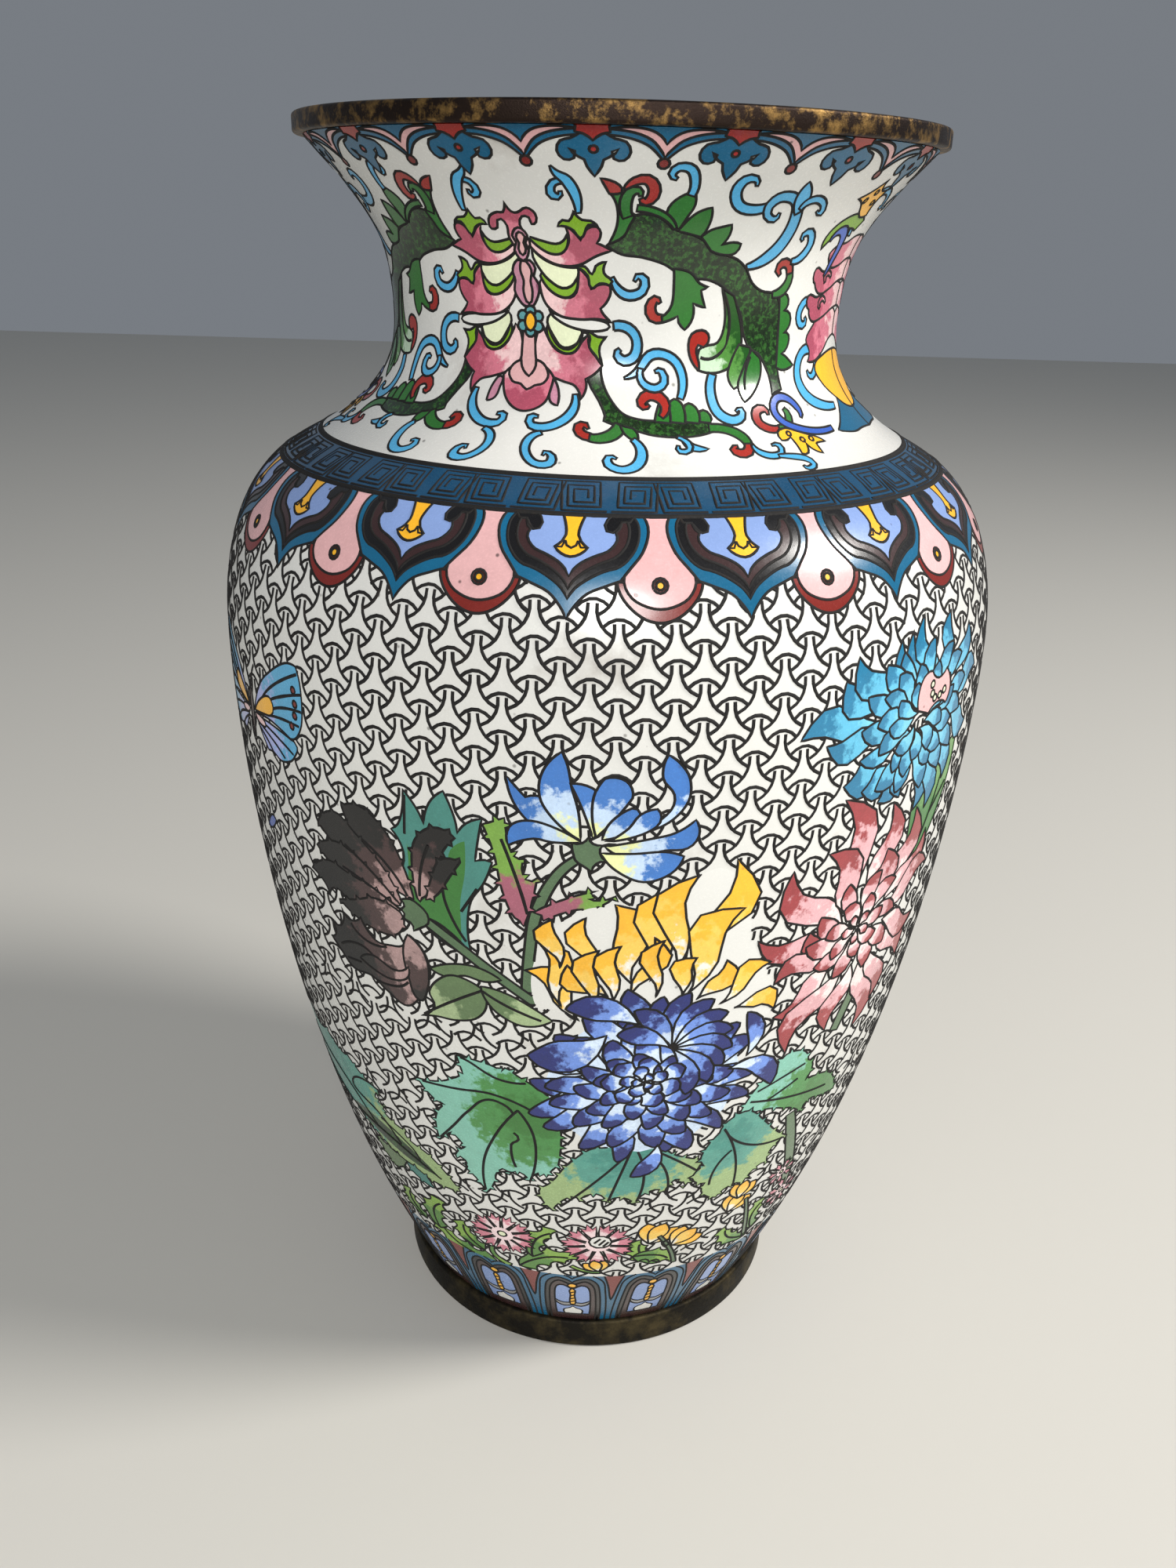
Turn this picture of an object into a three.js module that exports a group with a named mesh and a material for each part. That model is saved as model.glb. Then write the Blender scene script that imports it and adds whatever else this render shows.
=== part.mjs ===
// Cloisonne vase: a soldered copper body with brass rim and foot rings, glass enamel inside and out,
// and ring wires between the bands of enamel.
// Millimetres, +Z up. The origin is the centre of the foot's underside.

import * as THREE from 'three';
import { mergeVertices } from 'three/addons/utils/BufferGeometryUtils.js';

// --- Outline of the outer enamel surface: radii, and the rise of each stretch
const footRadius = 35.2; // where the enamel meets the foot ring
const bellyRadius = 61.8; // widest line
const shoulderRadius = 46.9; // where the shoulder turns into the neck's hollow curve
const neckRadius = 33.9; // narrowest line
const lipRadius = 46.0; // under the rim ring
const bodyRise = 123.7; // foot ring to widest line
const shoulderRise = 29.9; // widest line to shoulder turn
const collarRise = 15.8; // shoulder turn to narrowest line
const lipRise = 25.0; // narrowest line to rim ring

// --- How full each stretch is, as shares of its own rise or change of radius
const footFullness = { radial: 0.746, axial: 0.337 };
const bellyFullness = { below: 0.234, above: 0.664 };
const shoulderFullness = { below: 0.1, above: 0.103 };
const neckFullness = { below: 0.526, above: 0.5 };
const lipFullness = 0.397;
const shoulderSlope = 2.38; // radius lost per unit of height at the shoulder turn
const lipSlope = 0.957; // radius gained per unit of height at the rim

// --- Rings, walls and bands
const footRing = { height: 6.0, innerRadius: 31.4, overhang: 0.8, bevel: 0.8 };
const rimRing = { height: 2.6, overhang: 1.5, inset: 0.5, bevel: 0.5 };
const copperWall = 0.8;
const outerEnamel = 0.9;
const innerEnamel = 0.5;
const baseWall = 1.2;
const baseEnamel = 0.7;
const layerGap = 0.1; // clearance between neighbouring pieces
const wireWidth = 0.5;
const wireProud = 0.08; // how far a wire stands above the enamel
const footBandRise = 17.3; // foot ring to the top of the petal band
const fretBandRise = 3.6;
const fretAboveTurn = 0.6; // the fret band's top above the shoulder turn
const lappetBandRise = 11.3; // below the fret band
const lipBandRise = 9.2; // below the rim ring

// --- Fineness
const segments = 32; // round the axis
const stationStep = { body: 11, belly: 8, neck: 4 }; // largest rise between stations

// --- Levels, from the foot up
const footTop = footRing.height;
const baseTop = footTop + baseWall;
const footBandTop = footTop + footBandRise;
const bellyLevel = footTop + bodyRise;
const turnLevel = bellyLevel + shoulderRise;
const fretTop = turnLevel + fretAboveTurn;
const fretBottom = fretTop - fretBandRise;
const lappetBottom = fretBottom - lappetBandRise;
const neckLevel = turnLevel + collarRise;
const lipTop = neckLevel + lipRise;
const lipBandBottom = lipTop - lipBandRise;
const rimBottom = lipTop + layerGap;
const rimTop = rimBottom + rimRing.height;

// --- Outline curves: x is radius, y is height
function outlineCurve(start, startHandle, endHandle, end) {
  return new THREE.CubicBezierCurve(
    new THREE.Vector2(...start),
    new THREE.Vector2(...startHandle),
    new THREE.Vector2(...endHandle),
    new THREE.Vector2(...end)
  );
}

const shoulderHandleBelow = shoulderRise * shoulderFullness.below;
const shoulderHandleAbove = collarRise * shoulderFullness.above;
const lipHandle = lipRise * lipFullness;

const outline = [
  outlineCurve(
    [footRadius, footTop],
    [footRadius + (bellyRadius - footRadius) * footFullness.radial, footTop + bodyRise * footFullness.axial],
    [bellyRadius, bellyLevel - bodyRise * bellyFullness.below],
    [bellyRadius, bellyLevel]
  ),
  outlineCurve(
    [bellyRadius, bellyLevel],
    [bellyRadius, bellyLevel + shoulderRise * bellyFullness.above],
    [shoulderRadius + shoulderHandleBelow * shoulderSlope, turnLevel - shoulderHandleBelow],
    [shoulderRadius, turnLevel]
  ),
  outlineCurve(
    [shoulderRadius, turnLevel],
    [shoulderRadius - shoulderHandleAbove * shoulderSlope, turnLevel + shoulderHandleAbove],
    [neckRadius, neckLevel - collarRise * neckFullness.below],
    [neckRadius, neckLevel]
  ),
  outlineCurve(
    [neckRadius, neckLevel],
    [neckRadius, neckLevel + lipRise * neckFullness.above],
    [lipRadius - lipHandle * lipSlope, lipTop - lipHandle],
    [lipRadius, lipTop]
  ),
];

// Radius and slope of the outer enamel at a height, found by halving the curve's parameter.
function outlineAt(level) {
  const curve = outline.find((stretch) => level <= stretch.v3.y) ?? outline.at(-1);
  let low = 0;
  let high = 1;
  for (let step = 0; step < 40; step += 1) {
    const middle = (low + high) / 2;
    if (curve.getPoint(middle).y < level) low = middle;
    else high = middle;
  }
  const tangent = curve.getTangent(low);
  return { radius: curve.getPoint(low).x, slope: tangent.x / tangent.y };
}

// --- Stations: the heights at which every layer of the wall has a corner
function evenLevels(from, to, step) {
  const count = Math.max(1, Math.ceil((to - from) / step - 1e-6));
  return Array.from({ length: count }, (_, index) => from + ((to - from) * index) / count);
}

const stations = [
  ...evenLevels(footTop, footBandTop, stationStep.body),
  ...evenLevels(footBandTop, bellyLevel, stationStep.body),
  ...evenLevels(bellyLevel, lappetBottom, stationStep.belly),
  ...evenLevels(lappetBottom, fretBottom, stationStep.neck),
  ...evenLevels(fretBottom, fretTop, stationStep.neck),
  ...evenLevels(fretTop, lipBandBottom, stationStep.neck),
  ...evenLevels(lipBandBottom, lipTop, stationStep.neck),
  lipTop,
];

// Radius of the wall at a station, a given depth below the outer enamel's surface.
function stationRadius(level, depth) {
  const { radius, slope } = outlineAt(level);
  return radius - depth * Math.hypot(1, slope);
}

// Radius of the wall at any height: straight between stations, so that all layers nest.
function wallRadius(level, depth) {
  const above = Math.max(1, stations.findIndex((station) => station >= level - 1e-6));
  const lower = stations[above - 1];
  const share = (level - lower) / (stations[above] - lower);
  return THREE.MathUtils.lerp(stationRadius(lower, depth), stationRadius(stations[above], depth), share);
}

function wallPoint(level, depth) {
  return new THREE.Vector2(wallRadius(level, depth), level);
}

// The stations strictly between two heights, with the two heights themselves.
function levelsBetween(from, to) {
  return [from, ...stations.filter((level) => level > from + 1e-6 && level < to - 1e-6), to];
}

// --- Solids of revolution
// A section in the radius-height plane is spun about +Z. Its points run anticlockwise, and a section
// that touches the axis starts and ends on it.
function spun(points) {
  const section = points[0].x === 0 ? points : [...points, points[0]];
  const lathe = new THREE.LatheGeometry(section, segments);
  lathe.rotateX(Math.PI / 2);
  lathe.deleteAttribute('normal');
  lathe.deleteAttribute('uv');
  const solid = mergeVertices(lathe, 1e-4);
  const corners = Array.from(solid.index.array);
  const kept = [];
  for (let first = 0; first < corners.length; first += 3) {
    const triangle = corners.slice(first, first + 3);
    if (new Set(triangle).size === 3) kept.push(...triangle);
  }
  solid.setIndex(kept);
  return solid;
}

// A shell of the wall between two heights and two depths below the outer enamel's surface.
function wallShell(from, to, outerDepth, innerDepth) {
  const levels = levelsBetween(from, to);
  const outer = levels.map((level) => wallPoint(level, outerDepth));
  const inner = levels.map((level) => wallPoint(level, innerDepth)).reverse();
  return spun([...outer, ...inner]);
}

// A ring or disc whose section is given as radius-height pairs.
function turned(...pairs) {
  return spun(pairs.map(([radius, height]) => new THREE.Vector2(radius, height)));
}

// --- Finishes
function finish(color, roughness, metalness) {
  return new THREE.MeshStandardMaterial({ color, roughness, metalness });
}

const agedBrass = finish(0x5d4a2c, 0.5, 0.85);
const copper = finish(0x8a4f33, 0.55, 0.9);
const darkWire = finish(0x4a3520, 0.45, 0.85);
const whiteEnamel = finish(0xccceca, 0.3, 0);
const tealEnamel = finish(0x0f5878, 0.3, 0);
const fretEnamel = finish(0x174c70, 0.3, 0);
const turquoiseEnamel = finish(0x3f8f9c, 0.35, 0);

const vase = new THREE.Group();

function add(name, geometry, material) {
  const mesh = new THREE.Mesh(geometry, material);
  mesh.name = name;
  vase.add(mesh);
}

// --- Depths of the layers, from the outer enamel inwards
const copperOuter = outerEnamel + layerGap;
const copperInner = copperOuter + copperWall;
const linerOuter = copperInner + layerGap;
const linerInner = linerOuter + innerEnamel;

// --- Brass rings
function addFootRing() {
  const outerRadius = footRadius + footRing.overhang;
  const top = footTop - layerGap;
  const geometry = turned(
    [footRing.innerRadius, 0],
    [outerRadius - footRing.bevel, 0],
    [outerRadius, footRing.bevel],
    [outerRadius, top],
    [footRing.innerRadius, top]
  );
  add('foot_ring', geometry, agedBrass);
}

function addRimRing() {
  const outerRadius = lipRadius + rimRing.overhang;
  const innerRadius = wallRadius(lipTop, linerInner) - rimRing.inset;
  const geometry = turned(
    [innerRadius, rimBottom],
    [outerRadius - rimRing.bevel, rimBottom],
    [outerRadius, rimBottom + rimRing.bevel],
    [outerRadius, rimTop - rimRing.bevel],
    [outerRadius - rimRing.bevel, rimTop],
    [innerRadius, rimTop]
  );
  add('rim_ring', geometry, agedBrass);
}

// --- Copper: three soldered sections of the wall, and the base let into the foot
function addCopper() {
  const seams = [footTop, bellyLevel, fretBottom, lipTop];
  const names = ['copper_lower_body', 'copper_shoulder', 'copper_neck'];
  names.forEach((name, index) => {
    const from = seams[index] + layerGap / 2;
    const to = seams[index + 1] - layerGap / 2;
    add(name, wallShell(from, to, copperOuter, copperInner), copper);
  });
  const radius = wallRadius(footTop, copperInner) - layerGap;
  add('base_disc', turned([0, footTop], [radius, footTop], [radius, baseTop], [0, baseTop]), copper);
}

// --- Enamel: outer bands parted by ring wires, one lining inside, and a disc under the base
function addOuterBands() {
  const bands = [
    { name: 'foot_band', from: footTop, to: footBandTop, enamel: tealEnamel },
    { name: 'body', from: footBandTop, to: lappetBottom, enamel: whiteEnamel },
    { name: 'lappet_band', from: lappetBottom, to: fretBottom, enamel: tealEnamel },
    { name: 'fret_band', from: fretBottom, to: fretTop, enamel: fretEnamel },
    { name: 'neck', from: fretTop, to: lipBandBottom, enamel: whiteEnamel },
    { name: 'lip_band', from: lipBandBottom, to: lipTop, enamel: tealEnamel },
  ];
  bands.forEach(({ name, from, to, enamel }, index) => {
    const lower = index === 0 ? from : from + wireHalfRise(from) + layerGap;
    const upper = to === lipTop ? to : to - wireHalfRise(to) - layerGap;
    add(`${name}_enamel`, wallShell(lower, upper, 0, outerEnamel), enamel);
    if (to !== lipTop) add(`${name}_upper_wire`, ringWire(to), darkWire);
  });
}

// Half of a ring wire's height, from its width along the surface.
function wireHalfRise(level) {
  return wireWidth / 2 / Math.hypot(1, outlineAt(level).slope);
}

function ringWire(level) {
  const half = wireHalfRise(level);
  return wallShell(level - half, level + half, -wireProud, outerEnamel);
}

function addInteriorEnamel() {
  const floorBottom = baseTop + layerGap;
  const floorTop = floorBottom + innerEnamel;
  const outer = levelsBetween(floorBottom, lipTop).map((level) => wallPoint(level, linerOuter));
  const inner = levelsBetween(floorTop, lipTop).map((level) => wallPoint(level, linerInner)).reverse();
  const centre = [new THREE.Vector2(0, floorBottom), new THREE.Vector2(0, floorTop)];
  add('interior_enamel', spun([centre[0], ...outer, ...inner, centre[1]]), turquoiseEnamel);
}

function addBaseEnamel() {
  const radius = footRing.innerRadius - layerGap;
  const top = footTop - layerGap;
  const bottom = top - baseEnamel;
  add('base_enamel', turned([0, bottom], [radius, bottom], [radius, top], [0, top]), turquoiseEnamel);
}

addFootRing();
addRimRing();
addCopper();
addOuterBands();
addInteriorEnamel();
addBaseEnamel();

export default vase;
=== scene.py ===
import math
import random

import bmesh
import bpy
import numpy as np
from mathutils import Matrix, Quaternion, Vector
from mathutils.bvhtree import BVHTree
from mathutils.geometry import delaunay_2d_cdt, interpolate_bezier


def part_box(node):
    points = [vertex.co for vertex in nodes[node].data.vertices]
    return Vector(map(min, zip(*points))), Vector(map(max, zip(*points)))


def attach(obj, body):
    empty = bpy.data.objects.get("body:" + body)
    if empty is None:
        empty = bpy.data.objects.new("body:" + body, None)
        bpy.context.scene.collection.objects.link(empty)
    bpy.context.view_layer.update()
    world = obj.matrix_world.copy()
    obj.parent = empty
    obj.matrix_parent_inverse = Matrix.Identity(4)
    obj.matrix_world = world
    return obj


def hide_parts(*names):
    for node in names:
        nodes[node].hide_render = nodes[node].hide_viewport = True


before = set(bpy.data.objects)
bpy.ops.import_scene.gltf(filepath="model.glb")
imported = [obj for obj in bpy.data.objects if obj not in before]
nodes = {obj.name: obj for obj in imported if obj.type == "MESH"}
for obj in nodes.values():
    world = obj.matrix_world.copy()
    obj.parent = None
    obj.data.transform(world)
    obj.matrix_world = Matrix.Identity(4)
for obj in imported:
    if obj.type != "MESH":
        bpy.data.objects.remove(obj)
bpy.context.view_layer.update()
mm = 0.001


# The wall's outline, read from the frame.
# Lengths are in mm. s runs up the enamel's surface from the foot ring's top.

outerBands = ["foot_band", "body", "lappet_band", "fret_band", "neck", "lip_band"]


# A natural cubic spline through the values at the knots, read at the places in at.
def naturalSpline(knots, values, at):
    count = len(knots)
    gaps = np.diff(knots)
    slopes = np.diff(values) / gaps
    system = np.eye(count)
    right = np.zeros(count)
    for i in range(1, count - 1):
        system[i, i - 1:i + 2] = gaps[i - 1], 2 * (gaps[i - 1] + gaps[i]), gaps[i]
        right[i] = 6 * (slopes[i] - slopes[i - 1])
    bends = np.linalg.solve(system, right)
    i = np.clip(np.searchsorted(knots, at) - 1, 0, count - 2)
    a, b, gap = knots[i + 1] - at, at - knots[i], gaps[i]
    curved = (bends[i] * a ** 3 + bends[i + 1] * b ** 3) / (6 * gap)
    fromLeft = values[i] / gap - bends[i] * gap / 6
    fromRight = values[i + 1] / gap - bends[i + 1] * gap / 6
    straight = fromLeft * a + fromRight * b
    return curved + straight


def readOutline():
    corners = {}
    for name in outerBands:
        for vertex in nodes[name + "_enamel"].data.vertices:
            level = round(vertex.co.z / mm, 2)
            radius = math.hypot(vertex.co.x, vertex.co.y) / mm
            corners[level] = max(corners.get(level, 0), radius)
    points = []
    for level in sorted(corners):
        if points and level - points[-1][1] < 1:  # the two sides of a ring wire become one point
            points[-1] = ((points[-1][0] + corners[level]) / 2, (points[-1][1] + level) / 2)
        else:
            points.append((corners[level], level))
    points = np.array(points)
    knots = np.concatenate([[0], np.cumsum(np.hypot(*np.diff(points, axis=0).T))])
    fine = np.linspace(0, knots[-1], 1200)
    radius = naturalSpline(knots, points[:, 0], fine)
    level = naturalSpline(knots, points[:, 1], fine)
    along = np.concatenate([[0], np.cumsum(np.hypot(np.diff(radius), np.diff(level)))])
    rise, run = np.gradient(level, along), np.gradient(radius, along)
    return {"s": along, "r": radius, "z": level, "outR": rise, "outZ": -run}


wall = readOutline()
wallTop = float(wall["s"][-1])
sheetRadius = 60.0  # on the flat sheet, x is the angle in radians times this
sheetHalf = math.pi * sheetRadius


def wallRadius(s):
    return float(np.interp(s, wall["s"], wall["r"]))


def arcAtLevel(level):
    return float(np.interp(level, wall["z"], wall["s"]))


# Bends flat points (x on the sheet, s, height over the enamel) round the vase, in metres.
def bend(flat):
    flat = np.asarray(flat, float)
    angle, s, height = flat[:, 0] / sheetRadius, flat[:, 1], flat[:, 2]
    outR, outZ = np.interp(s, wall["s"], wall["outR"]), np.interp(s, wall["s"], wall["outZ"])
    radius = np.interp(s, wall["s"], wall["r"]) + height * outR
    level = np.interp(s, wall["s"], wall["z"]) + height * outZ
    return np.stack([radius * np.sin(angle), -radius * np.cos(angle), level], 1) * mm


# A path is written as "x,y x,y! x,y" in mm: ! marks a sharp corner, the other points are rounded.

def readPoints(text):
    points, sharp = [], []
    for word in text.split():
        points.append([float(value) for value in word.rstrip("!").split(",")])
        sharp.append(word.endswith("!"))
    return points, sharp


# The same path on the other side of an upright axis.
def mirroredText(text, axis=0.0):
    words = []
    for word in text.split():
        x, rest = word.split(",", 1)
        words.append(f"{round(2 * axis - float(x), 2)},{rest}")
    return " ".join(words)


# A half outline that ends on the axis x = 0, closed by its own mirror image.
def wholeText(half):
    other = [word for word in reversed(mirroredText(half).split()) if float(word.split(",")[0])]
    return half + " " + " ".join(other)


def smoothPath(points, sharp=None, closed=False, step=0.7):
    count = len(points)
    knots = [Vector((p[0], p[1], p[2] if len(p) > 2 else 0)) for p in points]
    sharp = list(sharp or [False] * count)
    if not closed:
        sharp[0] = sharp[-1] = True
    lead = [(knots[(i + 1) % count] - knots[i - 1]).normalized() for i in range(count)]
    path = []
    for i in range(count if closed else count - 1):
        j = (i + 1) % count
        span = knots[j] - knots[i]
        if span.length < 1e-6:
            continue
        straight = span.normalized()
        leave = straight if sharp[i] else lead[i]
        arrive = straight if sharp[j] else lead[j]
        if sharp[i] and not sharp[j]:
            leave = 2 * straight * straight.dot(arrive) - arrive
        if sharp[j] and not sharp[i]:
            arrive = 2 * straight * straight.dot(leave) - leave
        pull = span.length / 3
        steps = max(2, round(span.length / step) + 1)
        path += interpolate_bezier(knots[i], knots[i] + leave * pull, knots[j] - arrive * pull, knots[j],
                                   steps)[:-1]
    if not closed:
        path.append(knots[-1])
    return path


def circlePath(x, y, radius, sides=12):
    turns = [2 * math.pi * i / sides for i in range(sides)]
    return [(x + radius * math.cos(turn), y + radius * math.sin(turn)) for turn in turns]


# A petal from its root to its tip. bow pushes its middle sideways and wave makes it S-shaped, both as
# shares of its length. swell says how far along it is widest, and a small blunt gives it round ends.
def petalPath(root, tip, width, bow=0.0, swell=0.6, blunt=0.75, wave=0.0, steps=9):
    root, tip = Vector(root), Vector(tip)
    along = tip - root
    side = Vector((-along.y, along.x))
    middle = (root + tip) / 2 + side * bow
    power = math.log(0.5) / math.log(swell)
    left, right = [], []
    for i in range(steps + 1):
        t = (1 - math.cos(math.pi * i / steps)) / 2
        spot = root * (1 - t) ** 2 + middle * 2 * t * (1 - t) + tip * t * t
        spot += side * wave * math.sin(2 * math.pi * t)
        way = ((middle - root) * (1 - t) + (tip - middle) * t).normalized()
        across = Vector((-way.y, way.x)) * width / 2 * math.sin(math.pi * t ** power) ** blunt
        left.append(tuple(spot - across))
        right.append(tuple(spot + across))
    return left + right[-2:0:-1]


class Drawing:
    def __init__(self, low, high):
        self.low, self.high = low, high
        self.cells = []  # each is (path, finish, kind of shade, the shade's two points, is wired)
        self.lines = []  # each is (path, how many cells were drawn before it, width)
        self.place(0)

    # Puts what follows at an angle round the vase. It turns and mirrors about the pivot.
    def place(self, angle, lift=0.0, turn=0.0, mirror=False, size=1.0, pivot=(0, 0)):
        self.put = (math.radians(angle), lift, math.radians(turn), mirror, size, pivot)

    def onSheet(self, point):
        angle, lift, turn, mirror, size, pivot = self.put
        x, y = (point[0] - pivot[0]) * size, (point[1] - pivot[1]) * size
        x, y = x * math.cos(turn) - y * math.sin(turn), x * math.sin(turn) + y * math.cos(turn)
        x, s = x + pivot[0], y + pivot[1] + lift
        if mirror:
            x = -x
        return ((angle + x / wallRadius(s)) * sheetRadius, s)

    def addCell(self, path, finish, shade=("even",), wired=True):
        flat = [self.onSheet(p) for p in path]
        if sum(a[0] * b[1] - b[0] * a[1] for a, b in zip(flat, flat[1:] + flat[:1])) < 0:
            flat.reverse()
        spots = [self.onSheet(p) for p in shade[1:]]
        middle = sum(x for x, s in flat) / len(flat)
        turns = [round(middle / (2 * sheetHalf))]
        # A cell across the seam is drawn at both ends of the sheet.
        for end in (min(flat)[0], max(flat)[0]):
            turns.append(round(end / (2 * sheetHalf)))
        for turn in sorted(set(turns)):
            shift = -2 * sheetHalf * turn
            moved = [(x + shift, s) for x, s in flat]
            self.cells.append((moved, finish, shade[0], [(x + shift, s) for x, s in spots], wired))

    # shade is ("along", root, tip) or ("round", centre, edge): it says where the colours change.
    def cell(self, text, finish, shade=("even",), wired=True, step=0.7):
        points, sharp = readPoints(text)
        self.addCell(smoothPath(points, sharp, True, step), finish, shade, wired)

    # A cell written as its left half only, ending on the axis.
    def twinCell(self, half, finish):
        self.cell(wholeText(half), finish)

    def petal(self, root, tip, width, finish, **shape):
        self.addCell(petalPath(root, tip, width, **shape), finish, ("along", root, tip))

    def dot(self, x, y, radius, finish, sides=12):
        self.addCell(circlePath(x, y, radius, sides), finish)

    # A tendril or stem: each point carries its width as a third number.
    def stroke(self, text, finish, step=0.6):
        path = smoothPath(readPoints(text)[0], None, False, step)
        left, right = [], []
        for i, spot in enumerate(path):
            way = (path[min(i + 1, len(path) - 1)] - path[max(i - 1, 0)]).to_2d().normalized()
            across = Vector((-way.y, way.x)) * spot.z / 2
            left.append(tuple(spot.to_2d() - across))
            right.append(tuple(spot.to_2d() + across))
        self.addCell(left + right[::-1], finish, ("along", left[0], left[-1]))

    def line(self, text, width=None, closed=False):
        points, sharp = readPoints(text)
        self.addLine(smoothPath(points, sharp, closed) + ([points[0]] if closed else []), width)

    def veins(self, *texts):
        for text in texts:
            self.line(text)

    def addLine(self, path, width=None):
        self.lines.append(([self.onSheet(p) for p in path], len(self.cells), width))


print("outline read, wall", round(wallTop, 1), "mm up the surface")


# Cuts the sheet along every outline. A triangle belongs to the last cell drawn over it, 0 for the ground.
def arrange(drawing):
    gap = 3.0  # a grid this fine keeps large cells from cutting across the wall's curve
    columns, rows = round(2 * sheetHalf / gap), max(2, round((drawing.high - drawing.low) / gap))
    spots = [Vector((x, s)) for s in np.linspace(drawing.low, drawing.high, rows + 1)
             for x in np.linspace(-sheetHalf, sheetHalf, columns + 1)]
    corners = [0, columns, (rows + 1) * (columns + 1) - 1, rows * (columns + 1)]
    faces = [corners]
    for cell in drawing.cells:
        path = cell[0]
        faces.append(list(range(len(spots), len(spots) + len(path))))
        spots += [Vector(p) for p in path]
    found = delaunay_2d_cdt(spots, [], faces, 0, 1e-4)
    spots, triangles, owners = found[0], found[2], found[5]
    kept = [(tuple(t), max(o)) for t, o in zip(triangles, owners) if 0 in o]
    return spots, kept


def shadeAt(kind, spots, point):
    if kind == "even":
        return 0.0
    start, end = Vector(spots[0]), Vector(spots[1])
    if kind == "round":
        return (point - start).length / (end - start).length
    return (point - start).dot(end - start) / (end - start).length_squared


def addPiece(name, mesh, material):
    piece = bpy.data.objects.new(name, mesh)
    bpy.context.scene.collection.objects.link(piece)
    mesh.materials.clear()
    mesh.materials.append(material)
    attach(piece, "root")
    return piece


enamelDepth = 0.6  # how deep each enamel fill goes under its surface
toneStep = 0.618034  # spreads the tones of neighbouring cells evenly between 0 and 1


# One solid for all the cells of one colour in a band, with its face following the wall exactly.
def fillPiece(name, spots, members, cells, finish):
    bm = bmesh.new()
    blend, tone = bm.loops.layers.float.new("blend"), bm.loops.layers.float.new("tone")
    corners = {}
    flat = [[spots[i].x, spots[i].y, 0] for t, top in members for i in t]
    bent = bend(flat)
    place = 0
    for t, top in members:
        for i in t:
            if i not in corners:
                corners[i] = bm.verts.new(bent[place])
            place += 1
        face = bm.faces.new([corners[i] for i in t])
        kind, guide = cells[top - 1][2:4] if top else ("even", [])
        cellTone = (top * toneStep) % 1
        for loop, i in zip(face.loops, t):
            loop[blend] = min(max(shadeAt(kind, guide, spots[i]), 0), 1)
            loop[tone] = cellTone
    bmesh.ops.remove_doubles(bm, verts=bm.verts, dist=1e-7)
    made = bmesh.ops.extrude_face_region(bm, geom=list(bm.faces), use_keep_orig=True)["geom"]
    back = [v for v in made if isinstance(v, bmesh.types.BMVert)]
    away = outwardAt(np.array([v.co[:] for v in back]))
    for vertex, normal in zip(back, away):
        vertex.co -= Vector(normal) * enamelDepth * mm
    bmesh.ops.recalc_face_normals(bm, faces=bm.faces)
    mesh = bpy.data.meshes.new(name)
    bm.to_mesh(mesh)
    bm.free()
    smoothFront(mesh)
    return addPiece(name, mesh, enamels[finish]["material"])


# The wall's outward directions at points on it, from their heights and places round it.
def outwardAt(points):
    s = np.interp(points[:, 2] / mm, wall["z"], wall["s"])
    across = np.hypot(points[:, 0], points[:, 1])
    outR, outZ = np.interp(s, wall["s"], wall["outR"]), np.interp(s, wall["s"], wall["outZ"])
    return np.stack([outR * points[:, 0] / across, outR * points[:, 1] / across, outZ], 1)


facingLimit = 0.7  # a face that looks along the wall's outward direction by this much is shaded smooth


def smoothFront(mesh):
    count = len(mesh.loops)
    corner = np.zeros(count, np.int32)
    mesh.loops.foreach_get("vertex_index", corner)
    places = np.zeros(len(mesh.vertices) * 3, np.float32)
    mesh.vertices.foreach_get("co", places)
    out = outwardAt(places.reshape(-1, 3))[corner]
    flat = np.zeros(len(mesh.polygons) * 3, np.float32)
    mesh.polygons.foreach_get("normal", flat)
    sizes = np.zeros(len(mesh.polygons), np.int32)
    mesh.polygons.foreach_get("loop_total", sizes)
    normals = np.repeat(flat.reshape(-1, 3), sizes, axis=0)
    facing = np.sum(normals * out, 1)
    normals[facing > facingLimit] = out[facing > facingLimit]
    normals[facing < -facingLimit] = -out[facing < -facingLimit]
    mesh.shade_smooth()
    mesh.normals_split_custom_set(normals.tolist())


# Chains the edges between different cells into paths of spots.
def wirePaths(spots, triangles, cells):
    sides = {}
    for t, top in triangles:
        for a, b in ((t[0], t[1]), (t[1], t[2]), (t[2], t[0])):
            sides.setdefault((min(a, b), max(a, b)), []).append(top)
    links = {}
    for (a, b), tops in sides.items():
        if len(tops) == 2 and tops[0] != tops[1] and cells[max(tops) - 1][4]:
            links.setdefault(a, []).append(b)
            links.setdefault(b, []).append(a)
    used, paths = set(), []
    starts = [i for i in links if len(links[i]) != 2] + list(links)
    for start in starts:
        for step in links[start]:
            if (start, step) in used:
                continue
            path = [start, step]
            used |= {(start, step), (step, start)}
            while len(links[path[-1]]) == 2:
                onward = [i for i in links[path[-1]] if (path[-1], i) not in used]
                if not onward:
                    break
                used |= {(path[-1], onward[0]), (onward[0], path[-1])}
                path.append(onward[0])
            paths.append([(spots[i].x, spots[i].y) for i in path])
    return paths


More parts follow.
